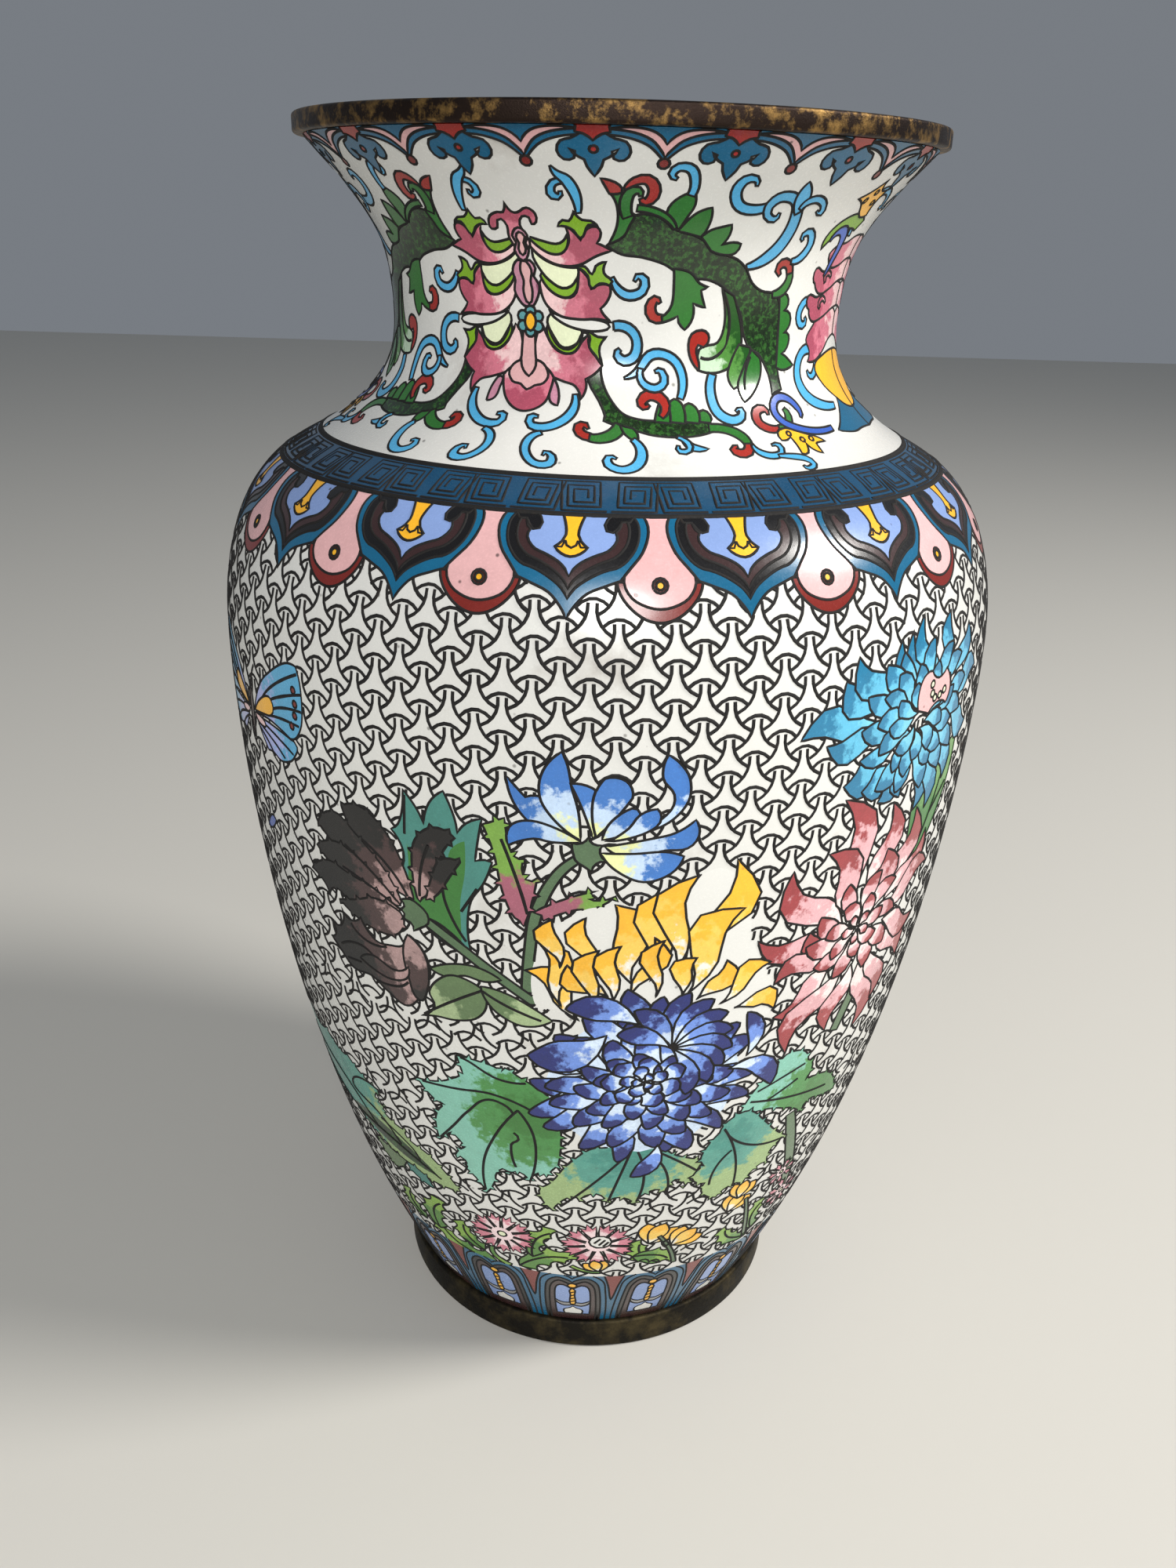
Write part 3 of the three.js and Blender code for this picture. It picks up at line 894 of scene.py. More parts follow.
# The parts of the lotus on one side of its axis, from the back to the front.
lotusSides = [
    ("4.2,179.6! 5.0,178 5.2,176.2! 4.0,176.8 3.6,178.4 3.4,179.6", "mauve", None),
    ("1.3,185.8! 0.9,183.4 1.4,181.6 3.0,180.4 5.2,179.6 7.0,179.0 8.1,177.2! 8.5,178.8 8.2,180.0! "
     "9.3,180.7 10.2,181.8! 9.2,183.0 8.4,183.9 8.1,185.6! 7.2,184.6 6.4,183.4 4.8,183.2 3.4,184.0 "
     "2.4,185.6 2.0,186.6!", "rose", (1.5, 184, 9.8, 180.5)),
    ("7.2,185.9! 8.2,186.0 9.4,185.4 10.6,185.5! 9.7,184.2 9.8,183.0 10.3,181.9! 9.0,183.2 8.3,184.1 "
     "8.3,185.5", "lime", None),
    ("3.0,188.0! 5.0,187.0 7.1,186.3 7.3,185.3 6.0,184.1 4.6,184.0 3.4,185.4 2.6,187.0", "cream", None),
    ("2.8,188.5! 5,187.7 8,187.6 10.2,187.3 10.9,186.7 10.0,186.2 8.0,186.1 5.5,186.6 3.6,187.6", "white",
     None),
    ("2.7,186.8! 3.3,185.2 4.3,184.0 5.5,183.7 6.6,184.4 7.2,185.9! 7.1,184.4 6.2,183.3 4.8,183.2 "
     "3.4,184.1 2.5,185.6", "lime", None),
    ("1.6,191.8 2.3,189.4 4.2,187.9 7,187.5 9.4,187.6 11.2,187.2! 10.1,188.2 9.7,188.9! 10.9,190.5 "
     "10.9,191.9! 9.6,191.9 8.5,191.3! 8.2,192.6 6.9,193.9! 6.8,192.0 6.2,190.4 4.6,190.2 3.0,191.1 "
     "1.9,192.4!", "rose", (2.5, 190, 10.5, 190)),
    ("6.6,193.9! 7.8,194.0 8.7,193.1 9.2,194.1 10.6,194.7! 10.2,193.3 11.3,192.3 10.9,191.8! 9.6,192.0 "
     "8.5,191.4 8.1,192.9 7.2,193.7", "lime", None),
    ("0.9,196.2! 2.4,194.8 4.6,194.0 6.9,193.9! 6.6,192.2 5.2,191.2 3.4,191.8 1.9,193.4 1.0,195.0!",
     "cream", None),
    ("2.0,193.2! 3.3,192.0 4.7,191.3 5.9,191.6 6.7,192.8! 6.6,191.2 5.6,190.2 4.2,190.3 2.8,191.2 "
     "1.8,192.7!", "lime", None),
    ("0.8,196.4 2.3,195 4.5,194.1 7,194.2 9.4,195.4 11.4,196.1! 10.4,196.7 9.6,197.0! 10.3,198.4 "
     "9.9,199.2! 8.7,198.9 7.6,197.3! 6.6,198.7 5.9,199.0! 6.1,197.4 5.4,196.0 4.4,195.5 2.8,196.2 "
     "0.9,197.2!", "rose", (2.0, 195.6, 9.0, 198.0)),
    ("1.0,197.6! 2.7,197.1 4.3,196.8 5.3,197.2 6.0,198.3! 5.8,196.6 4.9,195.6 3.5,195.5 2.1,196.2 "
     "0.9,197.3!", "lime", None),
    ("4.9,199.1! 5.7,200 6.5,199.9 7.3,201.3! 8.2,200.1 9.3,200 10.2,199.1! 8.9,199.4 8.3,198.4 7.6,197.6 "
     "6.9,198.6 6.0,199.1", "lime", None),
]
lotusMiddle = [
    ("-3.4,180! -2.8,177.6 -1.6,176 0.2,175.1 2.0,175.4 3.4,176.6 3.8,178.6 3.9,180! 0.4,182", "rose",
     (0.2, 182, 0.2, 176)),
    ("-2.6,180.6 -1.9,179.2 -0.6,178.9 0.4,178.2 1.4,178.8 2.6,179.2 3.1,180.4 1.8,182 -1.2,182", "blush",
     None),
    ("-0.8,186! -1.0,183 -0.8,181.2 0.4,180! 1.2,181.4 1.0,183 0.9,186!", "blush", None),
    ("-2.0,197.4 -2.0,199.0 -2.6,199.9 -3.2,199.7 -3.4,198.7 -4.3,198.5 -4.6,199.2 -4.2,200.3 -2.9,200.9 "
     "-2.1,200.9 -1.6,202.4! -0.9,201.0 -0.1,200.9 1.3,201.6 2.3,200.8 2.2,199.6 1.5,199.3 1.3,200.2 "
     "0.4,200.3 -0.1,199.2 0.4,198.0 0.8,196.6 -0.4,195!", "rose", (-0.6, 196, -1.4, 201.5)),
    ("-1.3,194.6! -2.1,193.4 -1.8,192 -2.0,190.8 -1.0,189.2 -0.2,188.8! 0.6,188.8! 1.4,190.2 1.6,191.6 "
     "0.9,192.6 1.2,193.6 0.5,194.6!", "mauve", (0, 191.5, 2.0, 191.5)),
    ("-0.5,194.6 -1.0,193.4 -0.6,192 -0.7,190.6 0.1,189.2 0.6,190.6 0.4,192.0 0.6,193.4", "blush", None),
    ("-0.5,198.8 -1.5,197.7 -1.1,196.8 -1.5,195.8 -0.4,194.5 0.5,195.8 0.2,196.8 0.6,197.8", "mauve",
     (-0.4, 196.7, 1.2, 196.7)),
    ("-0.5,198.2 -1.0,197.5 -0.7,196.8 -0.9,196.0 -0.4,195.2 0.1,196.0 -0.1,196.8 0.2,197.6", "blush",
     None),
]


def drawLotus(neck):
    for text, finish, shade in lotusSides:
        for side in (text, mirroredText(text)):
            flip = 1 if side is text else -1
            guide = ("along", (flip * shade[0], shade[1]),
                     (flip * shade[2], shade[3])) if shade else ("even",)
            neck.cell(side, finish, guide, step=0.5)
    for text, finish, shade in lotusMiddle:
        neck.cell(text, finish, ("along", shade[:2], shade[2:]) if shade else ("even",), step=0.5)
    for i in range(6):
        turn = math.radians(60 * i + 30)
        neck.dot(0.2 + 1.25 * math.cos(turn), 187 + 1.25 * math.sin(turn), 0.72, "aqua", 10)
    neck.cell("0.2,188.2 -0.6,187 0.2,185.8 1.0,187", "yellow", step=0.5)


# Cells and strokes of one acanthus scroll, as (angle round the vase, kind, shape, finish). drawNeck turns
# the angles with their medallion.
scrollParts = [
    (10, "cell", "-7.6,196.8! -6.2,198.2 -5.6,200 -4.2,201 -1.8,200.9 0.2,199.6 3,198.6 5.5,197.4 8,196.0 "
                 "10,195.4 11.6,194.2 12.9,192.4 14.6,191.4 17,191.0 18.2,189.6 18.4,186 18.5,182.5 "
                 "19.2,178.4! 17.2,177.8! 17,180 16,182 15,183.3 13.4,184 12.2,186 11.6,188.2 10,190.6 "
                 "8.2,192.0 6.0,192.8 4.0,192.9 1.8,193.6 0,194.6 -3,195.4 -5.6,195.7", "moss"),
    (10, "cell", "8.2,191.8! 9.0,189 9.0,186.6 8.2,184.9 6.6,184.5 5.6,184.0 5.4,182.6 5.4,181.4! "
                 "8.0,181.0 10.4,181.8 11.8,183.6 12.0,185.6 11.4,188 10.2,190.8!", "paleLeaf"),
    (10, "cell", "5.6,181.3! 4.4,182.8 4.0,184.6 4.4,186.0 5.8,186.5 6.8,186.0 6.9,185.0 6.2,184.3! "
                 "5.4,184.6 5.2,183.6 5.6,182.4", "red"),
    (10, "line", "8.6,191.2 9.6,189 9.9,186.6 9.3,184.2 7.6,182.9 5.8,183.0", None),
    (10, "cell", "0.4,199.2! -0.6,201.4 0.2,203.2 2.4,204.5! 2.8,202.6 2.0,200.6 1.3,199.0!", "leaf"),
    (10, "cell", "1.2,198.9! 2.2,200.4 3.4,201.6 5.1,202.3! 5.3,200.6 4.8,198.8 4.3,198.2!", "leaf"),
    (10, "cell", "4.4,198.2! 5.6,199.2 6.8,199.6 8.3,200! 8.3,198.6 7.4,197.2! 9.0,197.6 10.2,197.4! "
                 "9.6,196.2 8.0,195.9 6.0,196.4!", "leaf"),
    (10, "cell", "1.3,194! 1.5,191.6 1.4,189.6 0.6,188.4 -0.8,187.9 -1.6,188.4! -0.8,187.4 0.4,187.4 "
                 "2.3,188.2! 2.5,187.4 3.4,186.5! 4.4,188 4.3,189.8! 5.2,189.5 6.1,189.3! 5.6,190.4 "
                 "5.3,191.4! 6.3,191.9! 5.0,192.3 3.6,193.6", "leaf"),
    (10, "stroke", "0.2,187.9,0.9 -1.0,188.1,1.3 -1.4,189.3,1.3 -0.8,190.2,1.0 -0.2,189.8,0.4", "red"),
    (10, "cell", "11.6,184.6! 10.4,182.4 9.9,180.6 10.8,178.8! 12.2,179.8 13.2,182.0 13.5,184.2!",
     "paleLeaf"),
    (10, "cell", "13.8,183.9! 12.4,181.4 11.5,179.2 12.4,176.9! 14.2,178.4 15.4,180.6 15.3,182.8!", "leaf"),
    (10, "line", "13.6,183 12.8,181 12.6,178.6", None),
    (10, "cell", "18.0,191! 19.6,190.8 20.0,189.6 19.2,188.8! 20.6,188.4 20.8,187 19.6,185.9! 20.8,185.6 "
                 "20.6,184 19.4,183.2! 20.4,182.8 22,181.6! 20,181 18.4,181.4! 18.5,186", "leaf"),
    (10, "stroke", "16.6,190.9,0.8 18.4,191.4,1.3 19.4,192.6,1.3 19.4,193.8,1.2", "leaf"),
    (10, "stroke", "19.4,193.6,1.2 18.8,194.8,1.2 17.6,194.9,1.1 17.0,194.0,0.9 17.5,193.4,0.5", "red"),
    (10, "cell", "-7.4,197! -6.6,199.4 -6.9,202 -8.0,203.9! -6.4,204.2 -5.9,203.9! -6.2,202.4 -5.6,201.4 "
                 "-4.6,201.0 -5.0,199.5 -5.6,198.0", "leaf"),
    (10, "cell", "-8.1,203.8! -9.5,206! -7.6,205.5 -6.6,204.6! -6.6,204.0", "red"),
    (10, "stroke", "-4.4,201.9,0.9 -2.4,201.6,0.9 -0.4,200.6,0.8 0.8,199.2,0.5", "leaf"),
    (10, "stroke", "-6.2,204.5,0.6 -5.2,205.7,1.2 -3.8,206.0,1.4 -2.8,205.0,1.5 -2.7,203.6,1.5 "
                   "-3.5,202.8,1.1 -4.1,203.3,0.6", "red"),
    (10, "stroke", "-5.4,200.6,1.2 -5.9,202.4,1.5 -5.6,204.0,1.4 -4.6,204.4,1.0 -4.2,203.6,0.5", "leaf"),
    (8, "cell", "-8.4,181.4! -7.9,179.2 -6.8,177 -6.2,175 -6.4,174.2! -4.4,173.4 -2.2,172.8 0,172.1 "
                "3,171.8 6,172.0 8.2,172.6! 8.2,174.2! 5,174.6 1,174.4 -1.8,174.6 -3.8,175.4 -5.2,177.2 "
                "-6.2,179.4 -6.5,181.6!", "moss"),
    (8, "cell", "6.5,174.2! 6.4,175.4 7.2,176 8.2,175.2 8.2,174!", "leaf"),
    (8, "cell", "4.5,174.2! 4.4,176.2 5.2,177 6.4,176 6.5,174!", "leaf"),
    (8, "cell", "2.5,174.2! 2.4,176.6 3.2,177.6 4.4,176.6 4.5,174!", "leaf"),
    (8, "cell", "0.4,174.2! 0.8,176 1.6,177.4 2.4,176.6 2.5,174!", "leaf"),
    (8, "stroke", "1.3,175.0,0.7 2.0,176.6,1.3 1.2,177.8,1.5 -0.2,178.1,1.5 -1.2,177.2,1.3 -0.9,176.4,0.9 "
                  "-0.2,176.7,0.4", "red"),
    (8, "stroke", "-4.2,173.6,1.6 -5.4,172.1,1.7 -7.2,171.4,1.5 -8.6,171.6,1.2", "leaf"),
    (8, "stroke", "-8.4,171.6,1.3 -9.6,172.2,1.4 -9.7,173.2,1.3 -8.8,173.5,0.8 -8.5,172.9,0.4", "red"),
    (8, "cell", "-4.2,173.6! -3.6,172.0 -2.2,171.0! -2.0,172.2 -2.6,173.2!", "leaf"),
    (8, "stroke", "7.8,173.2,1.3 10.4,172.9,1.3 12.6,171.6,1.4 13.4,170.0,1.2", "leaf"),
    (8, "stroke", "13.4,170.4,1.3 13.0,169.0,1.6 11.8,168.8,1.4 10.9,169.6,1.0 11.6,170.0,0.5", "red"),
    (10, "stroke", "-6.6,192.8,0.5 -5.6,191.2,1.1 -4.2,190.6,1.2 -2.6,191.2,1.2 -2.4,192.6,1.1 "
                   "-3.4,193.0,0.7 -3.7,192.4,0.4", "sky"),
    (10, "stroke", "-6.1,186.8,1.1 -4.2,186.6,1.2 -3.0,185.2,1.2 -3.2,183.2,1.3 -4.6,182.5,1.2 "
                   "-5.5,183.2,1.0 -5.2,183.9,0.5", "sky"),
    (10, "stroke", "-4.6,180.3,0.3 -2.8,181.2,1.0 -1.2,183.2,1.3 0.6,183.4,1.2 2.4,182.4,1.2 3.3,180.2,1.2 "
                   "2.8,177.6,0.9", "sky"),
    (10, "stroke", "-2.4,181.6,0.7 -2.2,179.8,1.0 -0.6,179.0,1.1 0.7,179.8,1.1 0.4,181.2,0.9 -0.5,181.2,0.4",
     "sky"),
    (10, "stroke", "7.6,180.9,1.2 7.2,178.4,1.4 8.0,175.6,1.5 10.0,174.3,1.5 11.6,174.8,1.3 11.6,175.9,0.8 "
                   "10.8,175.6,0.4", "sky"),
    (10, "stroke", "2.0,203.9,1.0 2.2,205.6,1.1 1.4,207.6,1.2 -0.2,207.9,1.1 -0.9,206.9,0.9 -0.2,206.2,0.4",
     "sky"),
    (10, "stroke", "-13.4,205.4,0.7 -15.2,205.2,1.0 -15.4,203.8,1.0 -14.4,203.2,0.8 -14.2,204.0,0.4",
     "sky"),
    (10, "stroke", "-11.6,201.0,0.6 -12.2,203.4,1.2 -13.6,205.6,1.3 -15,206.6,0.8 -15.8,207.6,0.2", "sky"),
    (10, "stroke", "10.4,205.6,0.4 10.0,206.6,1.0 8.6,206.4,1.3 7.8,204.6,1.5 8.8,202.6,1.5 11.4,202.2,1.4 "
                   "13.6,203.2,1.0", "sky"),
    (10, "stroke", "11.6,194.4,0.7 14.6,195.6,1.6 16.9,197.8,1.9 17.9,200.8,1.9 17.2,203.6,1.7 "
                   "14.8,204.2,1.5 13.2,203.0,1.3 13.2,201.4,1.2 14.4,200.9,0.9 15.0,201.8,0.4", "sky"),
    (10, "cell", "17.6,201.6! 16.9,204 18.2,206.6! 19.3,204.6 18.6,202.2!", "sky"),
    (10, "stroke", "18.2,202.4,0.6 19.3,203.6,1.0 21.0,204.0,1.2 22.4,203.2,1.2 22.3,202.0,0.9 "
                   "21.4,202.3,0.4", "sky"),
    (30, "stroke", "7.0,195.2,0.7 8.8,195.8,1.2 9.8,197.6,1.3 8.8,199.2,1.1 7.6,198.8,0.8 7.9,198.0,0.4",
     "sky"),
    (8, "stroke", "-10.0,177.9,0.6 -10.2,176.0,1.1 -11.6,174.2,1.2 -14,172.9,1.2 -16.2,173.0,1.2 "
                  "-16.3,174.2,0.9 -15.2,174.4,0.4", "sky"),
    (8, "stroke", "-14.8,171.9,0.7 -16.6,170.8,1.1 -17.3,168.6,1.3 -16.2,166.5,1.4 -14.2,166.5,1.3 "
                  "-13.7,168.0,1.1 -14.6,168.6,0.6 -14.9,168.0,0.3", "sky"),
    (8, "stroke", "-2.8,171.4,0.8 -1.8,169.4,1.4 -2.6,166.9,1.5 -4.6,165.9,1.4 -6.3,166.8,1.3 "
                  "-6.2,168.2,0.9 -5.2,168.0,0.4", "sky"),
    (8, "cell", "4.0,171.4 5.4,170.6 7.4,169.8! 6,169.3 4.6,169.8", "sky"),
    (8, "stroke", "3.2,171.8,0.5 4.6,170.8,0.9 4.6,169.6,0.9 3.4,169.4,0.9 3.2,170.4,0.4", "sky"),
    (8, "stroke", "13.9,170.2,0.4 14.8,168.8,1.0 16.8,168.0,1.2 18.4,168.5,1.1 18.2,169.8,0.8 "
                  "17.0,169.9,0.4", "sky"),
    (30, "stroke", "1.4,167.9,0.6 3.6,167.6,1.1 5.6,167.0,1.2 6.4,165.8,1.0 5.0,165.1,0.8 4.4,165.7,0.4",
     "sky"),
    (30, "stroke", "14,189.6,0.5 12,189.9,1.1 10.8,188.4,1.2 11.4,186.9,1.1 12.6,187.0,0.8 12.4,187.8,0.4",
     "sky"),
    (0, "stroke", "38.5,175,1.0 34,175.6,1.5 30.6,177.4,1.6 29,180.2,1.5 30,183,1.4 32.6,183.4,1.3 "
                  "34.2,181.6,1.2 33,179.8,1.0 31.6,180.6,0.4", "sky"),
    (0, "stroke", "38.6,198.8,0.8 39.4,201.6,1.3 41.6,204.6,1.4 44.6,206.0,1.3 47,205.4,1.3 47.2,203.6,1.0 "
                  "46,203.4,0.4", "sky"),
    (30, "stroke", "4.0,172.7,0.9 5.8,173.0,1.2 6.6,174.4,1.2 6.2,175.6,0.7", "leaf"),
    (30, "stroke", "3.0,174.9,0.4 2.6,175.8,1.0 1.2,175.5,1.3 0.9,173.8,1.4 2.2,172.7,1.3 4.0,172.6,0.9",
     "red"),
    (30, "cell", "3.4,170.6! 3.4,172 5.0,172.6 6.6,172.0 8.6,171.2 10.2,170.6 11.6,169.6! 9.8,169.6 "
                 "9.4,169.4! 9.6,167.6! 8.2,168.4 7.4,169.8! 6.8,168.0 5.6,168.0! 5.6,169.6 5.2,171.0! "
                 "4.4,170.6", "yellow"), (30, "dot", "5.2,171.6 7.2,170.4 9.0,170.4", "yellow"),
    (30, "stroke", "9.0,174.0,0.4 9.2,175.2,1.0 7.6,177.0,1.1 5.4,177.2,1.2 4.3,175.6,1.2 5.0,173.8,1.2 "
                   "7.4,172.4,1.2 11,171.5,1.2 15,171.6,1.0", "royal"),
]


scrollShade = {"paleLeaf": ("along", (6.5, 181), (12, 188.5)), "rose": ("along", (-1, 188), (12, 187))}


def drawParts(drawing, parts, place):
    for angle, kind, shape, finish in parts:
        place(angle)
        if kind == "cell":
            drawing.cell(shape, finish, scrollShade.get(finish, ("even",)), step=0.6)
        elif kind == "stroke":
            drawing.stroke(shape, finish)
        elif kind == "line":
            drawing.line(shape)
        else:
            for word in shape.split():
                x, y = (float(value) for value in word.split(","))
                drawing.dot(x, y, 0.42, finish, 8)


# The medallion between the lotuses: a stack of pink bells under a yellow crown, on a gold and teal base.
bellSides = [
    (90, "cell", "0,178! 4,177 6,174.8 9,172.6 12,171! 8,170.2 4,170.4 0,170.2!", "teal"),
    (90, "cell", "0,183! 5,182.4 8.4,181 7.6,178.6 5.4,176.4 3,174.6 0,174!", "yellow"),
    (90, "cell", "0,188! 3,189 6.6,188.6 9.0,186.6 10.6,184.8 9.6,183.2 10.4,181.8! 8,181.8 5,183 "
                 "2.6,184.4 0,185!", "rose"),
    (90, "cell", "0,192! 3,192.4 6,191.6 9,190.4 11.6,190.6 10.8,188.8! 9.4,187.2 6.4,187.6 3,188.6 0,189!",
     "rose"),
    (90, "cell", "0,195.6! 3,195.6 6,194.6 9,193.8 11.4,194.2 10.6,192.2! 8.6,190.8 5.6,191.4 2.6,192.4 "
                 "0,192.6!", "rose"),
    (90, "cell", "0,199! 3,198.8 5.4,197.8 8,197.4 9.4,196.2! 7.4,194.4 4.4,194.6 2,195.4 0,195.6!",
     "rose"),
    (90, "stroke", "6,189.6,0.3 7.2,190.2,0.8 8.0,189.6,0.8 7.6,188.9,0.4", "rose"),
    (90, "stroke", "6,193.0,0.3 7.2,193.6,0.8 8.0,193.0,0.8 7.6,192.3,0.4", "rose"),
    (90, "cell", "4.4,201.2! 8,202.2 11,201.4 12.8,199.2 12.4,196.8! 10.8,198.6 8.4,199.8 5.4,199.6!",
     "lime"),
    (90, "stroke", "11.2,198.0,0.5 10.4,199.4,1.2 8.6,199.3,1.5 7.4,197.4,1.5 7.8,194.8,1.1 8.6,193.2,0.4",
     "royal"),
    (90, "cell", "5.2,202! 6.0,204.4 5.2,206.4! 7.4,206.0 8.6,207.8! 10.2,205.8 12.4,204.4! 10.4,203.8 "
                 "8.4,202.2 7.0,201.6", "yellow"), (90, "dot", "8.6,205.6 7.0,204.0 9.8,204.2", "yellow"),
]
medallions = {"lotus": -19.6, "count": 2}


def drawNeck():
    neck = Drawing(levels["fret"], wallTop)
    axis = medallions["lotus"]
    for i in range(medallions["count"]):
        turn = 360 / medallions["count"] * i
        for mirrored in (False, True):
            side = -1 if mirrored else 1
            drawParts(neck, scrollParts,
                      lambda angle: neck.place(axis + side * (angle - axis) + turn, mirror=mirrored))
            drawParts(neck, bellSides, lambda angle: neck.place(axis + angle + turn, mirror=mirrored))
        neck.place(axis + turn)
        drawLotus(neck)
    drawLipBand(neck)
    buildBand("neck", neck, "white", ["neck_enamel", "neck_upper_wire", "lip_band_enamel"])


# How much a chrysanthemum's petals vary: degrees, then factors. swirl turns each root away from its tip.
mumSpread = {"turn": 6, "reach": (0.93, 1.05), "width": (0.9, 1.15), "bow": (0.7, 1.3), "swirl": 0.6}


# Rings of overlapping petals, from the outside in: (reach, count, petal length, width, bow).
def drawMum(drawing, centre, size, rings, finish, swell=0.62, blunt=0.8, showing=0.35):
    cx, cy = centre
    for reach, count, length, width, bow in rings:
        for i in range(count):
            turn = rng.uniform(-mumSpread["turn"], mumSpread["turn"])
            way = math.radians(360 * (i + 0.5 * (count % 2)) / count + turn)
            far = reach * rng.uniform(*mumSpread["reach"])
            tip = (cx + size[0] * far * math.cos(way), cy + size[1] * far * math.sin(way))
            near = max(far - length, 0.02)
            swirl = way - math.copysign(mumSpread["swirl"], bow)
            root = (cx + size[0] * near * math.cos(swirl), cy + size[1] * near * math.sin(swirl))
            broad = width * rng.uniform(*mumSpread["width"])
            path = petalPath(root, tip, broad, bow * rng.uniform(*mumSpread["bow"]), swell, blunt)
            pale = Vector(root).lerp(Vector(tip), showing)
            drawing.addCell(path, finish, ("along", tuple(pale), tip))


def drawPetals(drawing, petals, finish, swell=0.55, blunt=0.75, curl=1.0, wave=0.0):
    for root, tip, width, bow in petals:
        drawing.petal(root, tip, width, finish, bow=bow * curl, swell=swell, blunt=blunt,
                      wave=math.copysign(wave, -bow))


leafTeeth = {"pitch": 2.1, "depth": 0.85, "lean": 0.6}


# Saw teeth along a leaf's edge, each leaning towards the end of the path.
def toothed(path, pitch, depth):
    knots = [Vector(p[:2]) for p in path]
    area = sum(a.x * b.y - b.x * a.y for a, b in zip(knots, knots[1:] + knots[:1]))
    result, run = [], 0.0
    for i, knot in enumerate(knots):
        ahead = knots[(i + 1) % len(knots)] - knot
        result.append(tuple(knot))
        run += ahead.length
        if run > pitch:
            out = Vector((ahead.y, -ahead.x)).normalized() * (depth if area > 0 else -depth)
            result.append(tuple(knot + ahead * leafTeeth["lean"] + out))
            run = 0.0
    return result


def leafCell(drawing, text, finish, shade=("even",), pitch=leafTeeth["pitch"], depth=leafTeeth["depth"]):
    points, sharp = readPoints(text)
    drawing.addCell(toothed(smoothPath(points, sharp, True, 0.8), pitch, depth), finish, shade)


# One frilled petal, as (share of the radius, angle in radians from the petal's middle).
carnationPetal = [(0.15, 0), (0.6, -0.24), (0.92, -0.25), (0.80, -0.12), (1.04, -0.02), (0.82, 0.1),
                  (0.95, 0.22), (0.6, 0.24)]


def drawCarnation(drawing, x, y, radius, count=11):
    for i in range(count):
        way = 2 * math.pi * (i + 0.3) / count
        path = []
        for reach, side in carnationPetal:
            path.append((x + radius * reach * math.cos(way + side),
                         y + radius * reach * math.sin(way + side)))
        drawing.addCell(path, "carnation", ("round", (x, y), (x + radius, y)))
    drawing.addCell(circlePath(x, y, radius * 0.34, 12), "carnation", wired=False)
    drawing.dot(x, y, radius * 0.14, "cream", 10)


# A leaf with pointed lobes and a midrib.
def drawLobedLeaf(drawing, root, tip, width, finish, lobes=4, bow=0.15):
    root, tip = Vector(root), Vector(tip)
    along = tip - root
    side = Vector((-along.y, along.x)).normalized()
    left, right = [], []
    for i in range(lobes):
        t = (i + 0.35) / lobes
        reach = width / 2 * math.sin(math.pi * (0.15 + 0.75 * t)) ** 0.8
        spine = root + along * t + side * (bow * along.length * math.sin(math.pi * t))
        outer = spine + along * (0.55 / lobes)
        left += [(spine - side * reach * 0.6).to_tuple(), (outer - side * reach).to_tuple()]
        right += [(spine + side * reach * 0.6).to_tuple(), (outer + side * reach).to_tuple()]
    path = [root.to_tuple()] + left + [tip.to_tuple()] + right[::-1]
    sharp = [True] + [False, True] * lobes + [True] + [True, False] * lobes
    drawing.addCell(smoothPath(path, sharp, True, 0.6), finish, ("along", path[0], tip.to_tuple()))
    middle = root + along * 0.5 + side * (bow * along.length * 0.9)
    midrib = smoothPath([tuple(root), tuple(middle), tuple(root + along * 0.85)])
    drawing.addLine([tuple(p) for p in midrib])


mumBlue = {
    "centre": (3.2, 70.6), "size": (18.2, 17.2), "ground": 15,
    "rings": [(1.0, 18, 0.5, 3.9, 0.4), (0.80, 15, 0.42, 3.9, -0.4), (0.60, 12, 0.38, 3.7, 0.42),
              (0.42, 9, 0.30, 3.2, -0.42),
              (0.26, 6, 0.2, 2.4, 0.4)],
}
mumPink = {"centre": (29.5, 93), "size": (12, 11),
           "rings": [(0.84, 10, 0.70, 3.6, 0.36), (0.52, 7, 0.46, 3.0, -0.36), (0.26, 5, 0.24, 1.8, 0.3)]}
mumSky = {"centre": (36.5, 125.5), "size": (13.5, 11.5),
          "rings": [(1.0, 15, 0.6, 3.4, 0.42), (0.76, 13, 0.5, 3.2, -0.42), (0.52, 9, 0.4, 2.8, 0.4)]}


